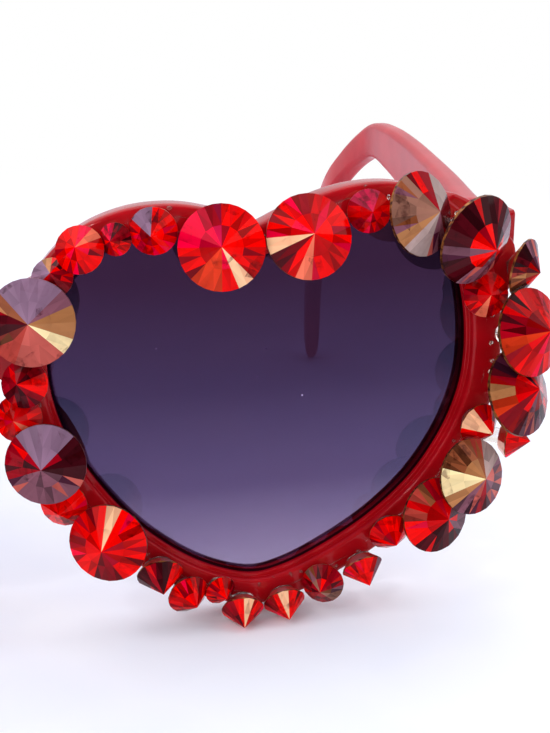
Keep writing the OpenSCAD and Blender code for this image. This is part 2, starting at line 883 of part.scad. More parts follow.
placed_crystals([shoulder_crystal], -1);  // crystal_right_shoulder
placed_crystals([corner_gem], -1);  // crystal_right_corner
placed_crystals([endpiece_crystal], -1);  // crystal_right_endpiece
placed_crystals([side_upper_crystal], -1);  // crystal_right_side_upper
placed_crystals([side_lower_crystal], -1);  // crystal_right_side_lower
placed_crystals([lower_outer_crystal], -1);  // crystal_right_lower_outer
union() {  // crystal_right_lower_middle
    placed_crystals([lower_middle_crystal], -1);
}
placed_crystals([lower_inner_crystal], -1);  // crystal_right_lower_inner
placed_crystals([nose_crystal], -1);  // crystal_right_nose
placed_crystals(top_small_crystals, -1);  // crystals_right_top_small
placed_crystals(side_small_crystals, -1);  // crystals_right_side_small
placed_crystals(bottom_small_crystals, -1);  // crystals_right_bottom_small
placed_crystals(nose_small_crystals, -1);  // crystals_right_nose_small
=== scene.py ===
"""Looks of the heart shaped sunglasses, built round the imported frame."""

import json
import logging
import math
import random
from dataclasses import dataclass, field
from enum import Enum
from typing import Any, Iterator, Optional, Sequence

import bmesh
import bpy
import numpy as np
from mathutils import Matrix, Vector


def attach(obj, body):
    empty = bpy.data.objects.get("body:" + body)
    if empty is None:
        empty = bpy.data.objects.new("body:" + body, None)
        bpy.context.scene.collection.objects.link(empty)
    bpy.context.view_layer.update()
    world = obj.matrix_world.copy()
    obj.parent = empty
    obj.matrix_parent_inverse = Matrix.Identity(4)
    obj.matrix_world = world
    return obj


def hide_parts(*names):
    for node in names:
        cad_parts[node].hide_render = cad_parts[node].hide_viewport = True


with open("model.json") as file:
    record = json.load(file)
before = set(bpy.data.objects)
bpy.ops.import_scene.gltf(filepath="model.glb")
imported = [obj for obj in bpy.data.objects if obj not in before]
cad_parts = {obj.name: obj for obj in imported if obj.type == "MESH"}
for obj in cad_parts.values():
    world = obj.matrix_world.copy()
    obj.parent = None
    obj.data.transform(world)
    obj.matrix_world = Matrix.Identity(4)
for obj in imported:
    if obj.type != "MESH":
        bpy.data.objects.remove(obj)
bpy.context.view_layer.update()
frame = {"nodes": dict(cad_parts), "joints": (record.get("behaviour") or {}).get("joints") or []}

log = logging.getLogger("sunglasses")

MM = 0.001
FRONT_BODY = "front"
LARGEST_SMOOTH_FACE = 8

Socket = bpy.types.NodeSocket
Tree = bpy.types.NodeTree
Material = bpy.types.Material
Points = np.ndarray


class Side(Enum):
    """The wearer's side, as the sign of X."""

    LEFT = 1
    RIGHT = -1

    @property
    def word(self) -> str:
        """The side's word in the names of nodes and bodies."""
        return self.name.lower()


def linear(code: str, alpha: float = 1.0) -> tuple[float, float, float, float]:
    """Turns an sRGB hex colour into linear values.

    Args:
        code: Six hex digits, such as "a01420".
        alpha: Opacity to go with it.

    Returns:
        Linear red, green, blue and alpha.
    """
    def channel(value: float) -> float:
        """Removes the sRGB curve from one channel."""
        return value / 12.92 if value <= 0.04045 else ((value + 0.055) / 1.055) ** 2.4

    red, green, blue = (channel(int(code[k:k + 2], 16) / 255) for k in (0, 2, 4))
    return red, green, blue, alpha


def add(
    tree: Tree,
    kind: str,
    inputs: Optional[dict[Any, Any]] = None,
    stops: Sequence[tuple[float, str]] = (),
    **settings: Any,
) -> bpy.types.Node:
    """Adds a node with its settings, values and links.

    Args:
        tree: Node tree to add to.
        kind: Node type, such as "ShaderNodeMix".
        inputs: Input name or index to a value or to the socket that feeds it.
        stops: A colour ramp's places, from 0 to 1, each with its sRGB hex colour.
        **settings: Attributes of the node itself.

    Returns:
        The new node.
    """
    node = tree.nodes.new(kind)
    for name, value in settings.items():
        setattr(node, name, value)
    for name, value in (inputs or {}).items():
        if isinstance(value, Socket):
            tree.links.new(value, node.inputs[name])
        else:
            node.inputs[name].default_value = value
    if stops:
        elements = node.color_ramp.elements
        while len(elements) < len(stops):
            elements.new(0.5)
        for element, (place, code) in zip(elements, stops):
            element.position = place
            element.color = linear(code)
    return node


class Tone(Enum):
    """Painted reflections on a coated crystal's wedges, as sRGB hex."""

    BRIGHT = "f80200"
    RED = "cc0206"
    CRIMSON = "940214"
    WINE = "4c0812"
    MAROON = "3a0810"
    MAGENTA = "b80c3c"
    HOT = "f60036"
    ORANGE = "d03416"
    DUSTY = "a83a30"
    SALMON = "e86c50"
    ROSE = "bc564c"
    PEACH = "f6b48a"
    GOLD = "f6dca4"
    TAN = "b07448"
    BRONZE = "8c4a2c"
    TAUPE = "8e6050"
    GREY = "ac928c"
    MAUVE = "7a4a58"
    LILAC = "86667e"
    PLUM = "4c1a30"


# The painted reflections that a shard may take in place of its wedge's own.
KIN: dict[Tone, tuple[Tone, ...]] = {
    Tone.BRIGHT: (Tone.RED, Tone.CRIMSON, Tone.HOT),
    Tone.RED: (Tone.BRIGHT, Tone.CRIMSON),
    Tone.HOT: (Tone.MAGENTA, Tone.RED),
    Tone.MAGENTA: (Tone.HOT, Tone.CRIMSON),
    Tone.CRIMSON: (Tone.BRIGHT, Tone.WINE, Tone.RED),
    Tone.WINE: (Tone.CRIMSON, Tone.MAROON, Tone.RED),
    Tone.MAROON: (Tone.WINE, Tone.CRIMSON, Tone.RED),
    Tone.PLUM: (Tone.WINE, Tone.MAUVE),
    Tone.MAUVE: (Tone.ROSE, Tone.PLUM),
    Tone.DUSTY: (Tone.RED, Tone.BRONZE),
    Tone.BRONZE: (Tone.DUSTY, Tone.TAN),
    Tone.TAUPE: (Tone.BRONZE, Tone.MAUVE),
}


@dataclass(frozen=True)
class Finish:
    """A named surface. Each kind says in shade() what the real one shows."""

    name: str

    def material(self) -> Material:
        """Makes the material on first use, and finds it again after that.

        Returns:
            The material.
        """
        made = bpy.data.materials.get(self.name)
        if made is not None:
            return made
        made = bpy.data.materials.new(self.name)
        made.use_nodes = True
        tree = made.node_tree
        tree.nodes.clear()
        add(tree, "ShaderNodeOutputMaterial", {"Surface": self.shade(tree)})
        return made

    def shade(self, tree: Tree) -> Socket:
        """Builds the nodes of the shader.

        Args:
            tree: Node tree to add to.

        Returns:
            The shader's output socket.
        """
        raise NotImplementedError

    def position(self, tree: Tree) -> Socket:
        """Returns the object coordinates, in metres."""
        return add(tree, "ShaderNodeTexCoord").outputs["Object"]


@dataclass(frozen=True)
class MouldedAcetate(Finish):
    """Injection-moulded cellulose acetate, tumbled to a gloss.

    The eye sees a deep, slightly uneven red under a clear shine that goes pink where it
    is seen along the surface.
    """

    deep: str = "9a0610"
    bright: str = "b00a16"
    cloud_mm: float = 7.0
    ripple_mm: float = 1.6
    roughness: float = 0.2
    coat_roughness: float = 0.06
    coat: float = 0.22

    def shade(self, tree: Tree) -> Socket:
        """Builds clouded red plastic under a gloss coat.

        Args:
            tree: Node tree to add to.

        Returns:
            The shader's output socket.
        """
        place = self.position(tree)
        clouds = add(tree, "ShaderNodeTexNoise", {
            "Vector": place, "Scale": 1 / (self.cloud_mm * MM), "Detail": 3.0,
        })
        ripple = add(tree, "ShaderNodeTexNoise", {
            "Vector": place, "Scale": 1 / (self.ripple_mm * MM), "Detail": 2.0,
        })
        bump = add(tree, "ShaderNodeBump", {
            "Height": ripple.outputs["Fac"], "Strength": 0.08, "Distance": 0.05 * MM,
        })
        colour = add(tree, "ShaderNodeValToRGB", {"Fac": clouds.outputs["Fac"]}, [
            (0.35, self.deep), (0.65, self.bright),
        ])
        return add(tree, "ShaderNodeBsdfPrincipled", {
            "Base Color": colour.outputs["Color"],
            "Roughness": self.roughness,
            "IOR": 1.48,
            "Subsurface Weight": 0.08,
            "Subsurface Scale": 1.5 * MM,
            "Specular IOR Level": 0.1,
            "Coat Weight": self.coat,
            "Coat Roughness": self.coat_roughness,
            "Coat IOR": 1.5,
            "Normal": bump.outputs["Normal"],
        }).outputs["BSDF"]


@dataclass(frozen=True)
class GradientLens(Finish):
    """Dip-tinted polycarbonate sheet with a thin violet mirror coat.

    The tint is dense purple at the top and thins to grey-lilac at the bottom. The coat
    mirrors the crystals round the rim, a band along the edge is painted nearly black as the
    shade of the rim's inner wall, and a little dust lies on the face. The specks are drawn
    larger than real dust, so that they show.
    """

    top_height: float = 55 * MM
    bottom_height: float = 6 * MM
    mirror: float = 0.05
    coating: str = "b474b4"
    edge_shade: str = "120310"
    edge_start_mm: float = 1.48
    edge_end_mm: float = 1.66
    lint: str = "b0a4c4"
    dust_mm: float = 5.0
    speck_share: float = 0.03
    stops: tuple[tuple[float, str], ...] = (
        (0.0, "a59ab6"), (0.11, "877b99"), (0.276, "564d6d"), (0.577, "302b44"),
        (0.91, "1d1020"),
    )

    def dust(self, tree: Tree, place: Socket) -> Socket:
        """Builds a mask of sparse round specks.

        Args:
            tree: Node tree to add to.
            place: Socket of the object coordinates.

        Returns:
            The socket of the mask.
        """
        cells = add(tree, "ShaderNodeTexVoronoi", {
            "Vector": place, "Scale": 1 / (self.dust_mm * MM),
        })
        pick = add(tree, "ShaderNodeSeparateColor", {"Color": cells.outputs["Color"]})
        size = add(tree, "ShaderNodeMath", {
            0: pick.outputs["Red"], 1: self.speck_share,
        }, operation="MULTIPLY")
        return add(tree, "ShaderNodeMath", {
            0: cells.outputs["Distance"], 1: size.outputs["Value"],
        }, operation="LESS_THAN").outputs["Value"]

    def shade(self, tree: Tree) -> Socket:
        """Builds clear plastic whose colour follows the height.

        Args:
            tree: Node tree to add to.

        Returns:
            The shader's output socket.
        """
        place = self.position(tree)
        height = add(tree, "ShaderNodeSeparateXYZ", {"Vector": place}).outputs["Z"]
        share = add(tree, "ShaderNodeMapRange", {
            "Value": height, "From Min": self.bottom_height, "From Max": self.top_height,
        })
        # A band along the edge is painted near-black: painted shade of the rim's inner wall.
        inward = add(tree, "ShaderNodeAttribute", attribute_name="inward")
        edge = add(tree, "ShaderNodeMapRange", {
            "Value": inward.outputs["Fac"],
            "From Min": self.edge_start_mm * MM, "From Max": self.edge_end_mm * MM,
        })
        tint = add(tree, "ShaderNodeValToRGB", {"Fac": share.outputs["Result"]}, self.stops)
        colour = add(tree, "ShaderNodeMix", {
            0: edge.outputs["Result"], 6: linear(self.edge_shade), 7: tint.outputs["Color"],
        }, data_type="RGBA")
        # Light crosses two surfaces, so each passes the root of the tint.
        each = add(tree, "ShaderNodeGamma", {"Color": colour.outputs[2], "Gamma": 0.5})
        clear = add(tree, "ShaderNodeBsdfTransparent", {"Color": each.outputs["Color"]})
        coat = add(tree, "ShaderNodeBsdfPrincipled", {
            "Base Color": linear(self.coating), "Metallic": 1.0, "Roughness": 0.03,
        })
        amount = add(tree, "ShaderNodeMath", {
            0: edge.outputs["Result"], 1: self.mirror,
        }, operation="MULTIPLY")
        coated = add(tree, "ShaderNodeMixShader", {
            0: amount.outputs["Value"], 1: clear.outputs["BSDF"], 2: coat.outputs["BSDF"],
        })
        speck = add(tree, "ShaderNodeBsdfDiffuse", {"Color": linear(self.lint)})
        return add(tree, "ShaderNodeMixShader", {
            0: self.dust(tree, place), 1: coated.outputs["Shader"], 2: speck.outputs["BSDF"],
        }).outputs["Shader"]


@dataclass(frozen=True)
class LeadCrystal(Finish):
    """Cut and polished red lead crystal glass, some of it under a thin vapour coat.

    Each wedge shows the red of the glass as one broad painted reflection, in place of the
    light from the foil behind, broken by darker shards of painted shade, and a part of the
    light goes on through the glass.
    """

    attribute: str = "tone"
    shard_mm: float = 2.4
    fine_mm: float = 0.9
    through: float = 0.06
    shard_shades: tuple[tuple[float, str], ...] = (
        (0.42, "b4a6aa"), (0.56, "e4dede"), (0.66, "f6f2f2"), (0.95, "ffffff"),
    )

    def shade(self, tree: Tree) -> Socket:
        """Builds glass whose colour is its wedge's painted reflection.

        Args:
            tree: Node tree to add to.

        Returns:
            The shader's output socket.
        """
        place = self.position(tree)
        tone = add(tree, "ShaderNodeAttribute", attribute_name=self.attribute)
        # Darker shards and fine mottling inside each facet are painted shade.
        shards = add(tree, "ShaderNodeTexVoronoi", {
            "Vector": place, "Scale": 1 / (self.shard_mm * MM),
        })
        grey = add(tree, "ShaderNodeSeparateColor", {"Color": shards.outputs["Color"]})
        fine = add(tree, "ShaderNodeTexNoise", {
            "Vector": place, "Scale": 1 / (self.fine_mm * MM), "Detail": 2.0,
        })
        both = add(tree, "ShaderNodeMath", {
            0: grey.outputs["Red"], 1: fine.outputs["Fac"],
        }, operation="ADD")
        depth = add(tree, "ShaderNodeValToRGB", {"Fac": both.outputs["Value"]}, self.shard_shades)
        colour = add(tree, "ShaderNodeVectorMath", {
            0: tone.outputs["Color"], 1: depth.outputs["Color"],
        }, operation="MULTIPLY")
        return add(tree, "ShaderNodeBsdfPrincipled", {
            "Base Color": colour.outputs["Vector"],
            "Roughness": 0.04,
            "IOR": 1.62,
            "Specular IOR Level": 0.03,
            "Transmission Weight": self.through,
        }).outputs["BSDF"]


@dataclass(frozen=True)
class SilveredFoil(Finish):
    """Vacuum-silvered foil on the crystals' backs, under a bronze lacquer.

    From inside the glass it is a mirror, and from behind it is dull gold.
    """

    colour: str = "f0b9a0"
    worn: str = "b98a5c"
    wear_mm: float = 1.2

    def shade(self, tree: Tree) -> Socket:
        """Builds a warm mirror with worn patches.

        Args:
            tree: Node tree to add to.

        Returns:
            The shader's output socket.
        """
        place = self.position(tree)
        wear = add(tree, "ShaderNodeTexNoise", {
            "Vector": place, "Scale": 1 / (self.wear_mm * MM), "Detail": 4.0,
        })
        colour = add(tree, "ShaderNodeValToRGB", {"Fac": wear.outputs["Fac"]}, [
            (0.55, self.colour), (0.8, self.worn),
        ])
        return add(tree, "ShaderNodeBsdfPrincipled", {
            "Base Color": colour.outputs["Color"], "Metallic": 1.0, "Roughness": 0.28,
        }).outputs["BSDF"]


@dataclass(frozen=True)
class GroundGirdle(Finish):
    """The crystals' ground edge with the foil's lacquer creeping over it.

    It draws a thin, broken amber line round each crystal.
    """

    glass: str = "3a0c0a"
    lacquer: str = "a8682e"
    grain_mm: float = 0.7

    def shade(self, tree: Tree) -> Socket:
        """Builds a fine amber edge.

        Args:
            tree: Node tree to add to.

        Returns:
            The shader's output socket.
        """
        place = self.position(tree)
        grain = add(tree, "ShaderNodeTexNoise", {
            "Vector": place, "Scale": 1 / (self.grain_mm * MM),
        })
        colour = add(tree, "ShaderNodeValToRGB", {"Fac": grain.outputs["Fac"]}, [
            (0.4, self.glass), (0.7, self.lacquer),
        ])
        return add(tree, "ShaderNodeBsdfPrincipled", {
            "Base Color": colour.outputs["Color"], "Metallic": 0.6, "Roughness": 0.35,
        }).outputs["BSDF"]


@dataclass(frozen=True)
class CuredGlue(Finish):
    """Clear jewellery glue, squeezed out and left to cure with small bubbles in it.

    It is nearly invisible but for its wet shine.
    """

    cloudy: str = "f4e6da"
    clear: str = "ffffff"
    bubble_mm: float = 0.5

    def shade(self, tree: Tree) -> Socket:
        """Builds slightly cloudy clear glue.

        Args:
            tree: Node tree to add to.

        Returns:
            The shader's output socket.
        """
        place = self.position(tree)
        bubbles = add(tree, "ShaderNodeTexVoronoi", {
            "Vector": place, "Scale": 1 / (self.bubble_mm * MM),
        })
        bump = add(tree, "ShaderNodeBump", {
            "Height": bubbles.outputs["Distance"], "Strength": 0.2, "Distance": 0.05 * MM,
        })
        colour = add(tree, "ShaderNodeValToRGB", {"Fac": bubbles.outputs["Distance"]}, [
            (0.0, self.cloudy), (1.0, self.clear),
        ])
        return add(tree, "ShaderNodeBsdfPrincipled", {
            "Base Color": colour.outputs["Color"],
            "Roughness": 0.05,
            "IOR": 1.48,
            "Transmission Weight": 0.96,
            "Normal": bump.outputs["Normal"],
        }).outputs["BSDF"]


@dataclass(frozen=True)
class NickelPlate(Finish):
    """Nickel-plated stamped steel, lightly scratched by use.

    It is a satin grey metal with fine upright lines. Real scratches are too fine to show
    at this distance, so they are drawn about ten times as wide.
    """

    dark: str = "a8a49d"
    light: str = "cfccc5"
    scratch_mm: float = 0.25
    stretch: float = 0.08

    def shade(self, tree: Tree) -> Socket:
        """Builds satin metal with fine scratches along its height.

        Args:
            tree: Node tree to add to.

        Returns:
            The shader's output socket.
        """
        place = self.position(tree)
        along = add(tree, "ShaderNodeMapping", {
            "Vector": place, "Scale": (1.0, 1.0, self.stretch),
        }).outputs["Vector"]
        lines = add(tree, "ShaderNodeTexNoise", {
            "Vector": along, "Scale": 1 / (self.scratch_mm * MM), "Detail": 2.0,
        })
        rough = add(tree, "ShaderNodeMapRange", {
            "Value": lines.outputs["Fac"], "To Min": 0.22, "To Max": 0.42,
        })
        colour = add(tree, "ShaderNodeValToRGB", {"Fac": lines.outputs["Fac"]}, [
            (0.3, self.dark), (0.7, self.light),
        ])
        return add(tree, "ShaderNodeBsdfPrincipled", {
            "Base Color": colour.outputs["Color"], "Metallic": 1.0,
            "Roughness": rough.outputs["Result"],
        }).outputs["BSDF"]


@dataclass(frozen=True)
class StudioPaper(Finish):
    """Matt white paper that the glasses stand on, tinted cool near them as painted cool shade.

    Far from the glasses it is plain white to the eye, so that no horizon shows.
    """

    cool_shade: str = "ecf1fd"
    pale: str = "f1f5fe"
    cloud_mm: float = 30.0
    near: float = 0.06
    far: float = 0.30

    def shade(self, tree: Tree) -> Socket:
        """Builds a white floor that keeps the shadow near its middle.

        Args:
            tree: Node tree to add to.

        Returns:
            The shader's output socket.
        """
        place = self.position(tree)
        grain = add(tree, "ShaderNodeTexNoise", {
            "Vector": place, "Scale": 1 / (self.cloud_mm * MM),
        })
        # The paper's bluish tint stands in for the cool shade round the glasses: painted shade.
        colour = add(tree, "ShaderNodeValToRGB", {"Fac": grain.outputs["Fac"]}, [
            (0.4, self.cool_shade), (0.6, self.pale),
        ])
        paper = add(tree, "ShaderNodeBsdfPrincipled", {
            "Base Color": colour.outputs["Color"], "Roughness": 0.9, "Specular IOR Level": 0.2,
        })
        away = add(tree, "ShaderNodeVectorMath", {0: place}, operation="LENGTH")
        share = add(tree, "ShaderNodeMapRange", {
            "Value": away.outputs["Value"], "From Min": self.near, "From Max": self.far,
        }, interpolation_type="SMOOTHSTEP")
        rays = add(tree, "ShaderNodeLightPath")
        seen = add(tree, "ShaderNodeMath", {
            0: rays.outputs["Is Camera Ray"], 1: rays.outputs["Is Transmission Ray"],
        }, operation="MAXIMUM")
        factor = add(tree, "ShaderNodeMath", {
            0: share.outputs["Result"], 1: seen.outputs["Value"],
        }, operation="MULTIPLY")
        white = add(tree, "ShaderNodeEmission", {"Color": (1, 1, 1, 1), "Strength": 1.0})
        return add(tree, "ShaderNodeMixShader", {
            0: factor.outputs["Value"], 1: paper.outputs["BSDF"],
            2: white.outputs["Emission"],
        }).outputs["Shader"]


ACETATE = MouldedAcetate("moulded_red_acetate")
ARM_ACETATE = MouldedAcetate(
    "moulded_rose_acetate", deep="b02430", bright="be2c36",
    roughness=0.35, coat_roughness=0.2, coat=0.35,
)
LENS_TINT = GradientLens("gradient_polycarbonate")
CRYSTAL = LeadCrystal("red_lead_crystal")
FOIL = SilveredFoil("silvered_foil")
GIRDLE = GroundGirdle("foil_edge")
GLUE = CuredGlue("cured_clear_glue")
NICKEL = NickelPlate("nickel_plate")
PAPER = StudioPaper("studio_paper")


def mesh_object(
    name: str,
    points: Sequence[Any],
    faces: Sequence[Sequence[int]],
    finishes: Sequence[Finish],
    smooth: bool = True,
) -> bpy.types.Object:
    """Makes an object at the origin from points in metres.

    Args:
        name: The object's name.
        points: Corner points.
        faces: Corner numbers of each face.
        finishes: Finishes for the material slots.
        smooth: Whether the faces are shaded smooth, apart from end caps.

    Returns:
        The new object, linked to the scene.
    """
    mesh = bpy.data.meshes.new(name)
    mesh.from_pydata([tuple(p) for p in points], [], [list(f) for f in faces])
    made = bpy.data.objects.new(name, mesh)
    bpy.context.scene.collection.objects.link(made)
    for finish in finishes:
        mesh.materials.append(finish.material())
    work = bmesh.new()
    work.from_mesh(mesh)
    bmesh.ops.recalc_face_normals(work, faces=work.faces)
    work.to_mesh(mesh)
    work.free()
    for face in mesh.polygons:
        face.use_smooth = smooth and len(face.vertices) <= LARGEST_SMOOTH_FACE
    return made


def catmull_rom(before: Points, a: Points, b: Points, after: Points, t: float) -> Points:
    """Returns the point at share t of the smooth curve from a to b.

    Args:
        before: The point before a.
        a: Start of the stretch.
        b: End of the stretch.
        after: The point after b.
        t: Share of the way from a to b.

    Returns:
        The point on the curve.
    """
    return 0.5 * (
        2 * a + (b - before) * t + (2 * before - 5 * a + 4 * b - after) * t * t
        + (3 * a - before - 3 * b + after) * t * t * t
    )


def catmull_slope(before: Points, a: Points, b: Points, after: Points, t: float) -> Points:
    """Returns the direction of the smooth curve from a to b at share t.

    Args:
        before: The point before a.
        a: Start of the stretch.
        b: End of the stretch.
        after: The point after b.
        t: Share of the way from a to b.

    Returns:
        The direction, not of unit length.
    """
    return 0.5 * (
        b - before + 2 * (2 * before - 5 * a + 4 * b - after) * t
        + 3 * (3 * a - before - 3 * b + after) * t * t
    )


def open_curve(points: Sequence[Sequence[float]], steps: int) -> Points:
    """Returns a smooth open curve through the points, with steps between neighbours.

    Args:
        points: Points that the curve passes through.
        steps: Steps between two neighbours.

    Returns:
        The points of the curve.
    """
    p = np.array(points, float)
    last = len(p) - 1
    rows = [
        catmull_rom(p[max(i - 1, 0)], p[i], p[i + 1], p[min(i + 2, last)], k / steps)
        for i in range(last) for k in range(steps)
    ]
    return np.array(rows + [p[last]])


def rounded(corners: Sequence[tuple[float, float, float]], steps: int) -> Points:
    """Rounds the corners of a flat closed outline.

    Args:
        corners: Each corner's place and the length that its rounding takes of each edge.
        steps: Steps in each rounding.

    Returns:
        The points of the rounded outline.
    """
    made: list[Points] = []
    count = len(corners)
    for i, (x, y, cut) in enumerate(corners):
        here = np.array([x, y])
        before = np.array(corners[i - 1][:2]) - here
        after = np.array(corners[(i + 1) % count][:2]) - here
        start = here + before / np.linalg.norm(before) * cut
        end = here + after / np.linalg.norm(after) * cut
        if cut <= 0:
            made.append(here)
            continue
        for k in range(steps + 1):
            t = k / steps
            made.append((1 - t) ** 2 * start + 2 * t * (1 - t) * here + t * t * end)
    return np.array(made)


@dataclass
class Sweep:
    """Tubes and plates gathered as points and faces, to become one mesh."""

    points: list[Vector] = field(default_factory=list)
    faces: list[list[int]] = field(default_factory=list)

    def add_loop(self, rings: Sequence[Sequence[Vector]], closed: bool = False) -> None:
        """Adds a tube through rings of equal counts, closed on itself or capped.

        Args:
            rings: The tube's sections, in order.
            closed: Whether the last ring joins the first.
        """
        first, count, sides = len(self.points), len(rings), len(rings[0])
        for ring in rings:
            self.points.extend(ring)
        for i in range(count if closed else count - 1):
            for j in range(sides):
                a, b = first + i * sides, first + (i + 1) % count * sides
                k = (j + 1) % sides
                self.faces.append([a + j, a + k, b + k, b + j])
        if not closed:
            self.faces.append([first + j for j in range(sides)])
            self.faces.append([first + (count - 1) * sides + j for j in range(sides)])


@dataclass
class FrontForm:
    """The curved, leaning surface that the front is drawn on.

    Lengths are in millimetres. Advance and lift move the front forward and up from the
    drawing's own origin to its place in the shared frame. The heart shares are the lens
    opening's points, clockwise as seen from the front, as shares of its width and height.
    """

    heart_width: float = 62.4
    heart_height: float = 54.4
    nose_gap: float = 15.2
    wrap_radius: float = 220.0
    lean: float = 4.0
    advance: float = 59.364
    lift: float = 5.81347
    heart_shares: tuple[tuple[float, float], ...] = (
        (0.495, 0.905), (0.565, 0.938), (0.640, 0.976), (0.720, 0.998), (0.800, 0.998),
        (0.877, 0.969), (0.941, 0.903), (0.981, 0.800), (1.000, 0.675), (0.998, 0.546),
        (0.974, 0.440), (0.930, 0.340), (0.861, 0.237), (0.760, 0.140), (0.640, 0.061),
        (0.543, 0.015), (0.468, 0.002), (0.380, 0.028), (0.295, 0.079), (0.208, 0.156),
        (0.131, 0.252), (0.070, 0.355), (0.022, 0.469), (0.000, 0.592), (0.005, 0.711),
        (0.043, 0.825), (0.112, 0.908), (0.199, 0.952), (0.288, 0.963), (0.367, 0.949),
        (0.436, 0.921),
    )

    def flat(self, share_x: float, share_z: float) -> Points:
        """Returns the flat place of a point given as shares of the lens opening.

        Args:
            share_x: Share of the width, from the nose.
            share_z: Share of the height, from the bottom.

        Returns:
            The flat place, in millimetres.
        """
        return np.array([
            self.nose_gap / 2 + share_x * self.heart_width, share_z * self.heart_height
        ])

    def opening(self, steps: int) -> tuple[Points, Points]:
        """Returns the opening's flat points and outward normals, with steps between shares.

        Args:
            steps: Steps from one share to the next.

        Returns:
            The points and their unit normals.
        """
        p = np.array([self.flat(*s) for s in self.heart_shares])
        n = len(p)
        places, normals = [], []
        for i in range(n):
            row = (p[i - 1], p[i], p[(i + 1) % n], p[(i + 2) % n])
            for k in range(steps):
                places.append(catmull_rom(*row, k / steps))
                slope = catmull_slope(*row, k / steps)
                normals.append(np.array([-slope[1], slope[0]]) / np.linalg.norm(slope))
        return np.array(places), np.array(normals)

    def place(self, flat: Sequence[float], depth: float, side: Side) -> Vector:
        """Puts a flat point on the front.

        Args:
            flat: Place on the drawing, in millimetres.
            depth: Depth behind the front's face, in millimetres.
            side: Which half of the glasses.

        Returns:
            The place in the shared frame, in metres.
        """
        turn = math.asin(flat[0] / self.wrap_radius)
        reach = self.wrap_radius - depth
        x, y, z = reach * math.sin(turn), self.wrap_radius - reach * math.cos(turn), flat[1]
        c, s = math.cos(math.radians(self.lean)), math.sin(math.radians(self.lean))
        return Vector((
            side.value * x, y * c + z * s - self.advance, z * c - y * s + self.lift
        )) * MM


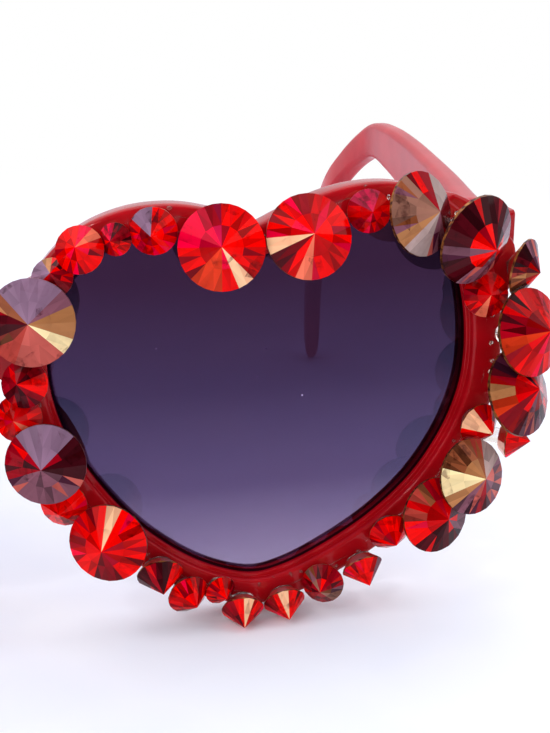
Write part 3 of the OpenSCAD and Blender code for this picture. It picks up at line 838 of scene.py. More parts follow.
@dataclass
class FrontShell:
    """Both rims, the bridge, the endpieces, the nose pads and the hinge blocks.

    Lengths are in millimetres. A bridge row is a share of the nose gap and one of the
    heart's height, and an endpiece row has shares of the heart's width and height.
    """

    form: FrontForm
    rim_width: float = 4.0
    rim_depth: float = 5.0
    lip_share: float = 0.24
    undercut_share: float = 0.15
    section_rounds: tuple[float, ...] = (0.55, 1.0, 1.0, 0.4, 0.16, 0.1)
    side_flare: float = 0.8
    flare_at: float = 0.27
    flare_reach: float = 0.16
    curve_steps: int = 8
    arc_steps: int = 5
    edge_rows: int = 5
    outline_steps: int = 3
    sharp_angle: float = 40.0
    bridge_sections: int = 49
    bridge_steps: int = 6
    bridge_arc_steps: int = 4
    bridge_inset_share: float = 0.1
    bridge_round: float = 0.6
    bridge_round_share: float = 0.45
    bridge_top: tuple[tuple[float, float], ...] = (
        (0, 0.812), (0.17, 0.818), (0.36, 0.842), (0.61, 0.880)
    )
    bridge_arch: tuple[tuple[float, float], ...] = (
        (0, 0.600), (0.12, 0.588), (0.21, 0.560), (0.32, 0.500)
    )
    bridge_side: tuple[tuple[float, float], ...] = (
        (0.38, 0.520), (0.39, 0.600), (0.40, 0.750), (0.48, 0.812), (0.61, 0.860)
    )
    endpiece: tuple[tuple[float, float], ...] = (
        (0.912, 0.997), (0.940, 1.038), (0.986, 1.014), (1.056, 0.962), (1.105, 0.888),
        (1.114, 0.830), (1.098, 0.766), (1.060, 0.700), (1.030, 0.708), (1.012, 0.800),
        (0.975, 0.905),
    )
    endpiece_round: float = 0.8
    endpiece_edge: float = 0.7
    endpiece_inset_share: float = 0.06
    pad: tuple[tuple[float, float], ...] = (
        (-0.50, -0.30), (-0.49, 0.05), (-0.42, 0.50), (-0.25, 0.88), (0.00, 1.00),
        (0.25, 0.88), (0.42, 0.50), (0.49, 0.05), (0.50, -0.30),
    )
    pad_at: float = 0.702
    pad_flare: float = 14.0
    pad_length: float = 0.27
    pad_reach: float = 1.4
    pad_half_share: float = 0.25
    pad_steps: int = 5
    pad_rows: tuple[tuple[float, float], ...] = (
        (-1, -0.6), (-0.8, -0.2), (0, 0), (0.8, -0.2), (1, -0.6)
    )
    block_offset: float = 1.5
    block_thick: float = 4.0
    block_tall: float = 12.0
    block_round: float = 0.25
    block_rows: tuple[tuple[float, float], ...] = (
        (-0.5, 0.94), (-0.47, 0.99), (-0.44, 1), (0.44, 1), (0.47, 0.99), (0.5, 0.94)
    )
    block: tuple[tuple[float, float], ...] = (
        (0, 0), (1, 0), (1.66, 1.3), (1.80, 1.9), (0.62, 2.42), (0.46, 1.86), (0, 1.86)
    )
    sweep: Sweep = field(default_factory=Sweep)

    def section(self, extra: float) -> Points:
        """Returns the rim's section: distance out from the opening, and depth.

        Args:
            extra: Width added on the outside.

        Returns:
            The section's closed outline.
        """
        wide, deep = self.rim_width + extra, self.rim_depth
        under, lip = -self.undercut_share * self.rim_width, self.lip_share * deep
        corners = [(0.0, 0.0), (wide, 0.0), (wide, deep), (under, deep), (under, lip), (0.0, lip)]
        return rounded([
            (*corner, cut) for corner, cut in zip(corners, self.section_rounds)
        ], self.arc_steps)

    def rim(self, side: Side) -> None:
        """Sweeps the rim's section round the opening.

        Args:
            side: Which half of the glasses.
        """
        places, normals = self.form.opening(self.curve_steps)
        rings = []
        for k, (p, n) in enumerate(zip(places, normals)):
            away = abs(k / len(places) - self.flare_at) / self.flare_reach
            extra = self.side_flare * (0.5 + 0.5 * math.cos(math.pi * min(away, 1.0)))
            rings.append([
                self.form.place(p + n * q[0], q[1], side) for q in self.section(extra)
            ])
        self.sweep.add_loop(rings, closed=True)

    def slab(self, outline: Points, low: float, high: float, edge: float, side: Side) -> None:
        """Adds a plate of the front with rounded edges.

        Args:
            outline: Flat closed outline.
            low: Depth of its face.
            high: Depth of its back.
            edge: Rounding of both edges.
            side: Which half of the glasses.
        """
        along = np.roll(outline, -1, 0) - np.roll(outline, 1, 0)
        out = np.stack([along[:, 1], -along[:, 0]], 1)
        out /= np.linalg.norm(out, axis=1)[:, None]
        x, y = outline[:, 0], outline[:, 1]
        if np.sum(x * np.roll(y, -1) - np.roll(x, -1) * y) < 0:
            out = -out
        rows = [
            (edge * (math.cos(a) - 1), low + edge * (1 - math.sin(a)))
            for a in np.linspace(math.pi / 2, 0, self.edge_rows)
        ]
        rows += [(grow, low + high - depth) for grow, depth in reversed(rows)]
        self.sweep.add_loop([
            [self.form.place(p + n * grow, depth, side) for p, n in zip(outline, out)]
            for grow, depth in rows
        ])

    def bridge(self) -> None:
        """Fills the space between the rims with rounded sections, side by side."""
        form, inset = self.form, self.bridge_inset_share * self.rim_depth
        top = open_curve(self.bridge_top, self.bridge_steps)
        arch = open_curve(self.bridge_arch, self.bridge_steps)
        low = np.concatenate([arch, np.array(self.bridge_side)])
        rings = []
        for share in np.linspace(-top[-1][0], top[-1][0], self.bridge_sections):
            high = np.interp(abs(share), top[:, 0], top[:, 1]) * form.heart_height
            foot = np.interp(abs(share), low[:, 0], low[:, 1]) * form.heart_height
            cut = min(self.bridge_round, self.bridge_round_share * (high - foot))
            section = rounded([
                (foot, inset, cut), (high, inset, cut),
                (high, self.rim_depth - inset, cut), (foot, self.rim_depth - inset, cut),
            ], self.bridge_arc_steps)
            rings.append([
                form.place((share * form.nose_gap, z), depth, Side.LEFT) for z, depth in section
            ])
        self.sweep.add_loop(rings)

    def widened_corner(self, side: Side) -> None:
        """Adds the endpiece outside the upper outer corner.

        Args:
            side: Which half of the glasses.
        """
        outline = np.array([self.form.flat(*s) for s in self.endpiece])
        corners = [(x, y, self.endpiece_round) for x, y in outline]
        inset = self.endpiece_inset_share * self.rim_depth
        self.slab(
            rounded(corners, self.outline_steps), inset, self.rim_depth - inset,
            self.endpiece_edge, side,
        )

    def nose_pad(self, side: Side) -> None:
        """Adds a pad: a lobed fin that stands on the rim's back.

        Args:
            side: Which half of the glasses.
        """
        places, normals = self.form.opening(self.curve_steps)
        steps = np.linalg.norm(np.roll(places, -1, 0) - places, axis=1)
        run = np.concatenate([[0], np.cumsum(steps)]) / steps.sum()
        at = int(np.searchsorted(run, self.pad_at))
        p = places[at] + normals[at] * self.rim_width / 2
        n = normals[at]
        t = np.array([-n[1], n[0]])
        flare = math.radians(self.pad_flare)
        outline = open_curve(self.pad, self.pad_steps)
        half = self.pad_half_share * self.rim_width
        rings = []
        for across_share, grow in self.pad_rows:
            across = half * across_share
            ring = []
            for length_share, reach_share in outline:
                reach = reach_share * self.pad_reach * self.rim_depth
                reach += grow if reach_share > 0 else 0
                length = length_share * (self.pad_length * self.form.heart_width + 2 * grow)
                out = across * math.cos(flare) - reach * math.sin(flare)
                back = reach * math.cos(flare) + across * math.sin(flare)
                flat = p + t * length + n * out
                ring.append(self.form.place(flat, self.rim_depth + back, side))
            rings.append(ring)
        self.sweep.add_loop(rings)

    def hinge_block(self, side: Side, axis: Vector) -> None:
        """Adds the block behind the endpiece that carries the hinge.

        Args:
            side: Which half of the glasses.
            axis: A point on the left hinge's axis, at the hinge's middle.
        """
        corners = [
            (self.block_offset + u * self.block_thick, -v * self.block_thick, self.block_round)
            for u, v in self.block
        ]
        outline = rounded(corners, self.outline_steps)
        middle = outline.mean(0)
        rings = []
        for z, shrink in self.block_rows:
            rings.append([
                Vector((
                    side.value * (axis.x / MM + (q[0] - middle[0]) * shrink + middle[0]),
                    axis.y / MM + (q[1] - middle[1]) * shrink + middle[1],
                    axis.z / MM + z * self.block_tall,
                )) * MM
                for q in outline
            ])
        self.sweep.add_loop(rings)

    def build(self, axis: Vector) -> None:
        """Builds the shell and puts it in the frame node's place.

        Args:
            axis: A point on the left hinge's axis, at the hinge's middle.
        """
        self.bridge()
        for side in Side:
            self.rim(side)
            self.widened_corner(side)
            self.nose_pad(side)
            self.hinge_block(side, axis)
        made = mesh_object("front_shell", self.sweep.points, self.sweep.faces, [ACETATE])
        sharpen(made, self.sharp_angle)
        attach(made, FRONT_BODY)
        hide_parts("frame_front")
        log.info("front shell: %d faces", len(made.data.polygons))


def sharpen(piece: bpy.types.Object, angle: float) -> None:
    """Marks edges over an angle in degrees as sharp, so that flat faces stay flat.

    Args:
        piece: Object whose mesh is marked.
        angle: Smallest sharp angle, in degrees.
    """
    work = bmesh.new()
    work.from_mesh(piece.data)
    for edge in work.edges:
        if len(edge.link_faces) == 2:
            edge.smooth = edge.calc_face_angle(0.0) < math.radians(angle)
    work.to_mesh(piece.data)
    work.free()


@dataclass
class TintedLens:
    """One lens: a thin curved sheet behind the rim's lip. Lengths in millimetres."""

    form: FrontForm
    side: Side
    thickness: float = 1.8
    recess: float = 1.9
    grow: float = 0.47
    rings: int = 14
    edge_steps: int = 6
    middle_share: float = 0.52
    sharp_angle: float = 40.0

    def build(self) -> None:
        """Builds the lens and puts it in its node's place."""
        places, normals = self.form.opening(self.edge_steps)
        edge = places + normals * self.grow
        middle = self.form.flat(0.5, self.middle_share)
        count = len(edge)
        points: list[Vector] = []
        faces: list[list[int]] = []
        for depth in (self.recess, self.recess + self.thickness):
            first = len(points)
            for k in range(self.rings):
                share = 1 - k / self.rings
                points += [
                    self.form.place(middle + (q - middle) * share, depth, self.side)
                    for q in edge
                ]
            points.append(self.form.place(middle, depth, self.side))
            for k in range(self.rings - 1):
                for j in range(count):
                    a, b = first + k * count, first + (k + 1) * count
                    faces.append([a + j, a + (j + 1) % count, b + (j + 1) % count, b + j])
            a, tip = first + (self.rings - 1) * count, len(points) - 1
            faces += [[a + j, a + (j + 1) % count, tip] for j in range(count)]
        back = self.rings * count + 1
        faces += [[j, (j + 1) % count, back + (j + 1) % count, back + j] for j in range(count)]
        made = mesh_object(f"tinted_lens_{self.side.word}", points, faces, [LENS_TINT])
        sharpen(made, self.sharp_angle)
        inward = made.data.attributes.new("inward", "FLOAT", "POINT")
        for k, point in enumerate(inward.data):
            ring, corner = divmod(k % back, count)
            reach = np.linalg.norm(edge[corner] - middle)
            point.value = (reach * ring / self.rings if ring < self.rings else reach) * MM
        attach(made, FRONT_BODY)
        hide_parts(f"lens_{self.side.word}")
        log.info("lens %s: %d faces", self.side.word, len(made.data.polygons))


@dataclass
class TempleArm:
    """One arm: straight at the hinge, then curved in and down behind the ear.

    Lengths are in millimetres. Each row of shares gives the way along the reach, the way
    in, the height above the floor, and the arm's height and thickness there.
    """

    side: Side
    axis: Vector
    height: float = 12.0
    thickness: float = 4.0
    reach: float = 97.0
    inset: float = 17.6
    gap: float = 0.1
    offset: float = 1.5
    steps: int = 8
    corner_steps: int = 6
    corner_share: float = 0.34
    fullest_share: float = 0.98
    sharp_angle: float = 50.0
    end_rows: tuple[tuple[float, float], ...] = ((-0.35, 0.0), (-0.1, 0.1), (0, 0.35))
    shares: tuple[tuple[float, float, float, float, float], ...] = (
        (0, 0, 1, 1, 1), (0.10, 0, 0.998, 0.98, 1), (0.22, 0.01, 1.002, 0.95, 0.98),
        (0.37, 0.06, 1.013, 0.90, 0.95), (0.52, 0.14, 1.032, 0.82, 0.92),
        (0.64, 0.24, 1.050, 0.71, 0.90), (0.74, 0.35, 1.052, 0.58, 0.87),
        (0.80, 0.48, 1.002, 0.53, 0.85), (0.85, 0.64, 0.918, 0.53, 0.85),
        (0.89, 0.81, 0.805, 0.55, 0.85), (0.925, 0.93, 0.620, 0.57, 0.85),
        (0.96, 0.99, 0.380, 0.57, 0.85), (0.988, 1, 0.140, 0.54, 0.82),
        (0.996, 1, 0.050, 0.44, 0.68), (1, 1, 0.008, 0.20, 0.35),
    )

    def ring(self, line: Points, i: int, grow: float = 0.0, shift: float = 0.0) -> list[Vector]:
        """Returns one section of the arm.

        Args:
            line: The arm's middle line with its heights and thicknesses.
            i: Number of the row.
            grow: Length added to the section's half sizes.
            shift: Length that the section is moved along the arm.

        Returns:
            The section's points, in metres.
        """
        row = line[i]
        before, after = line[max(i - 1, 0)], line[min(i + 1, len(line) - 1)]
        way = np.array([0.0, 1.0, 0.0]) if i == 0 else (after - before)[:3]
        way /= np.linalg.norm(way)
        across = np.array([1.0, 0.0, 0.0]) - way[0] * way
        across /= np.linalg.norm(across)
        up = np.cross(across, way)
        wide, tall = row[4] / 2 + grow, row[3] / 2 + grow
        cut = min(
            self.corner_share * row[4], wide * self.fullest_share, tall * self.fullest_share
        )
        made = []
        for quarter, (sx, sz) in enumerate(((1, 1), (-1, 1), (-1, -1), (1, -1))):
            for k in range(self.corner_steps + 1):
                a = math.radians(90 * (quarter + k / self.corner_steps))
                q = (sx * (wide - cut) + cut * math.cos(a), sz * (tall - cut) + cut * math.sin(a))
                p = row[:3] + way * shift + q[0] * across + q[1] * up
                made.append(Vector((
                    self.side.value * (self.axis.x / MM + p[0]),
                    self.axis.y / MM + p[1], self.axis.z / MM + p[2],
                )) * MM)
        return made

    def build(self) -> None:
        """Builds the arm and puts it in its node's place."""
        hinge_height = self.axis.z / MM
        line = open_curve([
            (
                self.offset + self.thickness / 2 - s[1] * self.inset,
                self.gap + s[0] * self.reach, (s[2] - 1) * hinge_height,
                s[3] * self.height, s[4] * self.thickness,
            )
            for s in self.shares
        ], self.steps)
        sweep = Sweep()
        rings = [self.ring(line, 0, grow, shift) for grow, shift in self.end_rows]
        rings += [self.ring(line, i) for i in range(2, len(line))]
        sweep.add_loop(rings)
        made = mesh_object(
            f"temple_{self.side.word}", sweep.points, sweep.faces, [ARM_ACETATE]
        )
        sharpen(made, self.sharp_angle)
        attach(made, f"arm_{self.side.word}")
        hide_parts(f"arm_{self.side.word}")
        log.info("temple %s: %d faces", self.side.word, len(made.data.polygons))


@dataclass(frozen=True)
class Sparkle:
    """Painted reflections of one crystal: a plain one, and wedges between hours of the clock."""

    plain: Tone
    wedges: tuple[tuple[float, float, Tone], ...] = ()
    core: Optional[Tone] = None
    uneven: float = 0.28
    core_chance: float = 0.5
    dim_chance: float = 0.8
    dimmed: float = 0.5

    def at(self, hour: float) -> Tone:
        """Returns the painted reflection of the facet that faces the hour.

        Args:
            hour: Where the facet is, by the clock.

        Returns:
            The tone.
        """
        for start, end, tone in self.wedges:
            if (hour - start) % 12 < (end - start) % 12:
                return tone
        return self.plain

    def colour(self, hour: float, inner: bool, dice: random.Random) -> tuple[float, ...]:
        """Returns one shard's painted reflection: its wedge's own, or now and then one of its
        kin.

        Args:
            hour: Where the wedge is, by the clock.
            inner: Whether the shard is one of those round the tip.
            dice: Source of chance.

        Returns:
            Linear red, green and blue.
        """
        tone = self.at(hour)
        # Shards round the tip may take the core colour as a painted glow.
        if inner and self.core is not None and dice.random() < self.core_chance:
            tone = self.core
        elif tone in KIN and dice.random() < self.uneven:
            tone = dice.choice(KIN[tone])
        strength = dice.uniform(1 - self.uneven, 1 + self.uneven)
        # Now and then a shard is dimmed as painted shade.
        if tone in KIN and dice.random() < self.dim_chance * self.uneven:
            strength *= self.dimmed
        return tuple(min(1.0, c * strength) for c in linear(tone.value)[:3])


# Painted reflections, by the place in a node's name. A node of several crystals has one row
# for each, clockwise.
SPARKLES: dict[str, tuple[Sparkle, ...]] = {
    "bridge": (Sparkle(Tone.ROSE, (
        (9.6, 10.6, Tone.BRONZE), (10.6, 1.2, Tone.LILAC), (1.2, 2.2, Tone.MAUVE),
        (2.2, 3.5, Tone.TAN), (3.5, 4.7, Tone.GOLD), (6.8, 8.4, Tone.DUSTY),
        (8.4, 9.6, Tone.WINE),
    ), None, 0.15),),
    "inner_lobe": (Sparkle(Tone.BRIGHT, (
        (4.4, 5.2, Tone.PEACH), (6.0, 7.4, Tone.ORANGE), (9.0, 11.4, Tone.HOT),
        (11.4, 12.3, Tone.MAGENTA),
    )),),
    "outer_lobe": (Sparkle(Tone.BRIGHT, (
        (5.9, 6.8, Tone.SALMON), (7.2, 8.2, Tone.CRIMSON), (8.5, 9.2, Tone.PEACH),
        (10.8, 12.6, Tone.RED),
    )),),
    "shoulder": (Sparkle(Tone.WINE, (
        (11.3, 12.5, Tone.CRIMSON), (12.5, 1.8, Tone.GREY), (4.6, 6.0, Tone.MAUVE),
        (6.0, 7.6, Tone.GREY), (7.6, 8.6, Tone.TAN), (8.6, 11.3, Tone.TAUPE),
    ), None, 0.2),),
    "corner": (Sparkle(Tone.WINE, (
        (1.5, 3.2, Tone.MAUVE), (3.2, 5.2, Tone.CRIMSON), (5.2, 7.0, Tone.MAUVE),
        (8.4, 9.4, Tone.MAUVE), (11.0, 12.4, Tone.MAROON),
    ), Tone.BRIGHT, 0.24),),
    "endpiece": (Sparkle(Tone.CRIMSON, (
        (9.4, 11.6, Tone.WINE), (11.6, 1.0, Tone.MAUVE), (5.0, 7.4, Tone.WINE),
        (7.6, 8.6, Tone.BRONZE), (2.0, 3.4, Tone.BRIGHT),
    ), Tone.BRIGHT, 0.4),),
    "side_upper": (Sparkle(Tone.RED, (
        (8.0, 9.2, Tone.ORANGE), (9.2, 11.0, Tone.CRIMSON), (4.0, 7.0, Tone.BRIGHT),
        (12.6, 2.0, Tone.BRIGHT),
    ), None, 0.4),),
    "side_lower": (Sparkle(Tone.CRIMSON, (
        (8.2, 8.8, Tone.ORANGE), (8.8, 9.7, Tone.TAN), (9.7, 10.6, Tone.WINE),
        (10.6, 12.6, Tone.PLUM),
        (4.6, 6.4, Tone.MAUVE), (1.6, 3.4, Tone.MAUVE),
    ), Tone.RED, 0.42),),
    "lower_outer": (Sparkle(Tone.MAUVE, (
        (8.5, 10.0, Tone.GOLD), (10.0, 12.4, Tone.BRONZE), (12.4, 2.2, Tone.GREY),
        (5.0, 6.0, Tone.CRIMSON), (7.4, 8.5, Tone.TAN),
    ), None, 0.28),),
    "lower_middle": (Sparkle(Tone.CRIMSON, (
        (9.0, 10.5, Tone.DUSTY), (10.5, 11.3, Tone.BRONZE), (11.6, 1.0, Tone.RED),
        (7.2, 9.0, Tone.BRIGHT), (4.8, 7.2, Tone.WINE), (1.6, 4.8, Tone.MAUVE),
    ), Tone.RED, 0.3),),
    "lower_inner": (Sparkle(Tone.BRIGHT, (
        (11.9, 12.7, Tone.PEACH), (5.6, 6.4, Tone.CRIMSON), (8.6, 10.4, Tone.RED),
    )),),
    "nose": (Sparkle(Tone.MAROON, (
        (8.6, 10.4, Tone.CRIMSON), (10.4, 1.2, Tone.LILAC), (4.0, 8.6, Tone.MAUVE),
    ), None, 0.16),),
    "top_small": (
        Sparkle(Tone.CRIMSON, ((8.0, 10.4, Tone.LILAC), (11.2, 12.2, Tone.TAN)), None, 0.3),
        Sparkle(Tone.BRIGHT, ((11.6, 1.0, Tone.HOT), (1.2, 2.2, Tone.SALMON))),
        Sparkle(Tone.CRIMSON, ((3.0, 6.0, Tone.BRIGHT), (10.0, 12.0, Tone.HOT)), None, 0.3),
        Sparkle(Tone.BRIGHT, ((10.4, 12.4, Tone.LILAC), (8.6, 10.4, Tone.CRIMSON))),
        Sparkle(Tone.RED, ((9.6, 1.2, Tone.MAGENTA), (4.8, 6.8, Tone.BRIGHT)), None, 0.3),
    ),
    "side_small": (
        Sparkle(Tone.RED, ((6.4, 7.4, Tone.SALMON), (1.0, 2.0, Tone.BRIGHT)), None, 0.3),
        Sparkle(Tone.RED, ((9.6, 10.8, Tone.PEACH), (12.4, 1.6, Tone.BRIGHT))),
        Sparkle(Tone.BRIGHT, ((11.0, 1.0, Tone.RED),)),
        Sparkle(Tone.BRIGHT, ((9.0, 11.0, Tone.RED),)),
    ),
    "bottom_small": (
        Sparkle(Tone.BRIGHT, ((11.0, 12.0, Tone.ORANGE), (1.2, 2.4, Tone.MAUVE)), None, 0.25),
        Sparkle(Tone.CRIMSON, ((10.0, 11.4, Tone.TAUPE), (3.2, 4.6, Tone.TAUPE)), None, 0.3),
        Sparkle(Tone.BRIGHT, ((11.2, 12.8, Tone.PEACH), (9.4, 10.4, Tone.RED))),
        Sparkle(Tone.BRIGHT, ((11.8, 1.2, Tone.PEACH), (9.0, 10.6, Tone.CRIMSON))),
        Sparkle(Tone.RED, ((10.0, 12.0, Tone.BRIGHT), (2.0, 4.0, Tone.CRIMSON)), None, 0.3),
        Sparkle(Tone.RED, ((4.0, 7.0, Tone.MAROON), (10.6, 12.0, Tone.BRIGHT)), None, 0.3),
        Sparkle(Tone.WINE, ((1.4, 4.4, Tone.BRIGHT), (9.6, 11.0, Tone.CRIMSON)), None, 0.3),
    ),
    "nose_small": (
        Sparkle(Tone.BRIGHT, ((3.0, 6.0, Tone.RED),)),
        Sparkle(Tone.RED, ((8.0, 11.0, Tone.BRIGHT), (4.0, 5.0, Tone.SALMON)), None, 0.3),
        Sparkle(Tone.CRIMSON, ((5.0, 8.0, Tone.WINE), (2.0, 4.4, Tone.BRIGHT)), None, 0.35),
    ),
}


@dataclass
class Seat:
    """Where one crystal sits, read from its CAD solid. Lengths in metres."""

    centre: Vector
    aim: Vector
    first: Vector
    radius: float
    pointed: bool

    def hour(self, share: float, side: Side) -> float:
        """Finds where a facet is, by the clock, as seen from the front.

        Args:
            share: Share of the turn round the crystal, from its first corner.
            side: Which half of the glasses; the right one is seen in a mirror.

        Returns:
            The hour, from 0 to 12.
        """
        turn = 2 * math.pi * share
        way = self.first * math.cos(turn) + self.aim.cross(self.first) * math.sin(turn)
        return math.atan2(way.x * side.value, way.z) / (2 * math.pi) * 12 % 12


class CrystalSlot(Enum):
    """Material slots of a cut crystal, in the order of its finishes."""

    GLASS = 0
    EDGE = 1
    BACK = 2

    @classmethod
    def of_level(cls, level: int) -> "CrystalSlot":
        """Returns the slot of a band, counted from the tip back."""
        return (cls.GLASS, cls.GLASS, cls.EDGE, cls.BACK, cls.BACK)[level]


@dataclass
class CrystalNode:
    """All crystals of one CAD node, cut again with finer facets, foil and edge.

    A crystal has a point at both ends, or a tall point in front and a flat table behind.
    """

    node: str
    point_share: float = 0.58
    girdle_share: float = 0.08
    tall_share: float = 1.0
    bevel_share: float = 0.42
    table_share: float = 0.6
    pointed_facets: int = 16
    flat_facets: int = 12
    axis_share: float = 0.1
    outer_share: float = 0.98
    same_point: float = 1e-6
    heart_middle: tuple[float, float] = (0.5, 0.55)
    start_angle: float = 236.0
    # Painted glow on the tip's corners, and the range of painted light on the other corners.
    tip_light: float = 1.15
    corner_light: tuple[float, float] = (0.82, 1.05)

    def seats(self) -> list[Seat]:
        """Reads each crystal's centre, aim and size from the node's solids.

        Returns:
            The seats, in no set order.
        """
        work = bmesh.new()
        work.from_mesh(frame["nodes"][self.node].data)
        bmesh.ops.remove_doubles(work, verts=work.verts, dist=self.same_point)
        found, left = [], set(work.verts)
        while left:
            group, open_set = [], [min(left, key=lambda v: v.index)]
            left.discard(open_set[0])
            while open_set:
                vert = open_set.pop()
                group.append(vert)
                for edge in vert.link_edges:
                    other = edge.other_vert(vert)
                    if other in left:
                        left.discard(other)
                        open_set.append(other)
            found.append(self.seat(np.array([v.co[:] for v in group])))
        work.free()
        return found

    def seat(self, p: Points) -> Seat:
        """Finds one crystal's seat from its corner points.

        Args:
            p: The crystal's corner points, in metres.

        Returns:
            The seat.
        """
        middle = p.mean(0)
        values, vectors = np.linalg.eigh((p - middle).T @ (p - middle))
        axis = vectors[:, 0]
        along = (p - middle) @ axis
        away = np.linalg.norm(p - middle - along[:, None] * axis, axis=1)
        radius = away.max()
        tips = along[away < self.axis_share * radius]
        pointed = len(tips) > 1
        backwards = axis[1] > 0 if pointed else tips[0] < 0
        if backwards:
            axis, along = -axis, -along
        girdle = away > self.outer_share * radius
        centre = middle + axis * along[girdle].mean()
        corner = p[girdle][0] - centre
        corner = corner - axis * (corner @ axis)
        return Seat(
            Vector(centre), Vector(axis), Vector(corner).normalized(), float(radius), pointed
        )

    def ordered(self, side: Side) -> list[Seat]:
        """Returns the seats in clockwise order round the heart, from its lower left.

        Args:
            side: Which half of the glasses.

        Returns:
            The seats in order.
        """
        form = FrontForm()
        middle = form.place(form.flat(*self.heart_middle), 0, side)

        def turn(seat: Seat) -> float:
            """Returns the seat's angle round the heart's middle.

            Args:
                seat: The crystal's seat.

            Returns:
                Degrees clockwise from the start angle.
            """
            way = seat.centre - middle
            angle = math.degrees(math.atan2(way.z, way.x * side.value))
            return (self.start_angle - angle) % 360

        return sorted(self.seats(), key=turn)

    def rings(self, seat: Seat) -> tuple[list[list[Vector]], int]:
        """Returns the rings of points from the tip back, and the number of facets.

        The two rings of the girdle have twice as many points as facets, so that it is
        round. Each facet stays flat, because the extra points lie on its own plane.

        Args:
            seat: Where the crystal sits.

        Returns:
            The rings in metres, and the number of facets in each.
        """
        g = self.girdle_share / 2
        if seat.pointed:
            facets, front, back = self.pointed_facets, self.point_share, self.point_share
            behind = [(0.0, -g - back)]
        else:
            facets, front = self.flat_facets, self.tall_share
            back = self.bevel_share / (1 - self.table_share)
            behind = [(self.table_share, -g - self.bevel_share), (0.0, -g - self.bevel_share)]
        chord = 1 - math.cos(math.pi / facets)
        up = seat.aim.cross(seat.first)

        def point(share: float, height: float, turn: float) -> Vector:
            """Returns a point at a share of the radius, a height share and a turn."""
            way = seat.first * math.cos(turn) + up * math.sin(turn)
            return seat.centre + seat.radius * (seat.aim * height + way * share)

        def level(share: float, height: float) -> list[Vector]:
            """Returns a plain ring, or one point on the axis."""
            count = facets if share > 0 else 1
            return [point(share, height, 2 * math.pi * k / count) for k in range(count)]

        def girdle(height: float, fall: float) -> list[Vector]:
            """Returns a round ring whose odd points are moved along the facets' slope.

            Args:
                height: The ring's height share.
                fall: Height lost from the axis to the ring.

            Returns:
                The ring's points.
            """
            return [
                point(1, height + (fall * chord if k % 2 else 0), math.pi * k / facets)
                for k in range(2 * facets)
            ]

        made = [level(0, g + front), level(0.5, g + front / 2), girdle(g, -front)]
        made += [girdle(-g, back)] + [level(*row) for row in behind]
        return made, facets

    def band(
        self, first: int, upper: int, lower: int, facets: int
    ) -> Iterator[tuple[int, list[list[int]]]]:
        """Joins two neighbouring rings with faces, one facet at a time.

        Args:
            first: Number of the upper ring's first point; the lower ring's follow.
            upper: Points in the upper ring.
            lower: Points in the lower ring.
            facets: Facets round the crystal.

        Yields:
            The facet's number and its faces, as corner numbers.
        """
        a, b = first, first + upper
        for k in range(max(facets, min(upper, lower))):
            n = k + 1
            if upper == 1:
                faces = [[a, b + k, b + n % lower]]
            elif lower == 1 and upper == facets:
                faces = [[a + n % upper, a + k, b]]
            elif lower == 1:
                faces = [[a + 2 * n % upper, a + 2 * k + 1, a + 2 * k, b]]
            elif lower == 2 * upper:
                c, d, e = b + 2 * k, b + 2 * k + 1, b + 2 * n % lower
                faces = [[a + k, c, d], [a + k, d, a + n % upper], [a + n % upper, d, e]]
            elif upper == 2 * lower:
                faces = [[
                    b + n % lower, a + 2 * n % upper, a + 2 * k + 1, a + 2 * k, b + k
                ]]
            else:
                faces = [[a + k, a + n % upper, b + n % lower, b + k]]
            yield k, faces

    def build(self) -> None:
        """Cuts the node's crystals as one piece and puts it in the node's place."""
        points: list[Vector] = []
        faces: list[list[int]] = []
        slots: list[CrystalSlot] = []
        painted_reflections: list[tuple[float, ...]] = []
        tips: set[int] = set()
        _, word, place = self.node.split("_", 2)
        side = Side[word.upper()]
        dice = random.Random(place)
        for seat, sparkle in zip(self.ordered(side), SPARKLES[place], strict=True):
            rings, facets = self.rings(seat)
            tips.add(len(points))
            for level, (upper, lower) in enumerate(zip(rings, rings[1:])):
                first = len(points)
                points.extend(upper)
                for k, made_faces in self.band(first, len(upper), len(lower), facets):
                    hour = seat.hour((k + 0.5) / facets, side)
                    for face in made_faces:
                        faces.append(face)
                        slots.append(CrystalSlot.of_level(level))
                        # Each facet gets its wedge's painted reflection.
                        painted_reflections.append(sparkle.colour(hour, level == 0, dice))
            points.extend(rings[-1])
        made = mesh_object(f"cut_{self.node}", points, faces, [CRYSTAL, GIRDLE, FOIL], False)
        colours = made.data.color_attributes.new(CRYSTAL.attribute, "FLOAT_COLOR", "CORNER")
        for face, slot, tone in zip(made.data.polygons, slots, painted_reflections):
            face.material_index = slot.value
            for corner in face.loop_indices:
                # Corners at the tip are brightened as a painted glow; the other corners get
                # random painted light.
                tip = made.data.loops[corner].vertex_index in tips
                glow = tip and slot is CrystalSlot.GLASS
                light = self.tip_light if glow else dice.uniform(*self.corner_light)
                colours.data[corner].color = (*(min(1.0, c * light) for c in tone), 1.0)
        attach(made, FRONT_BODY)
        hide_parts(self.node)
        log.info("%s: %d facets", self.node, len(faces))


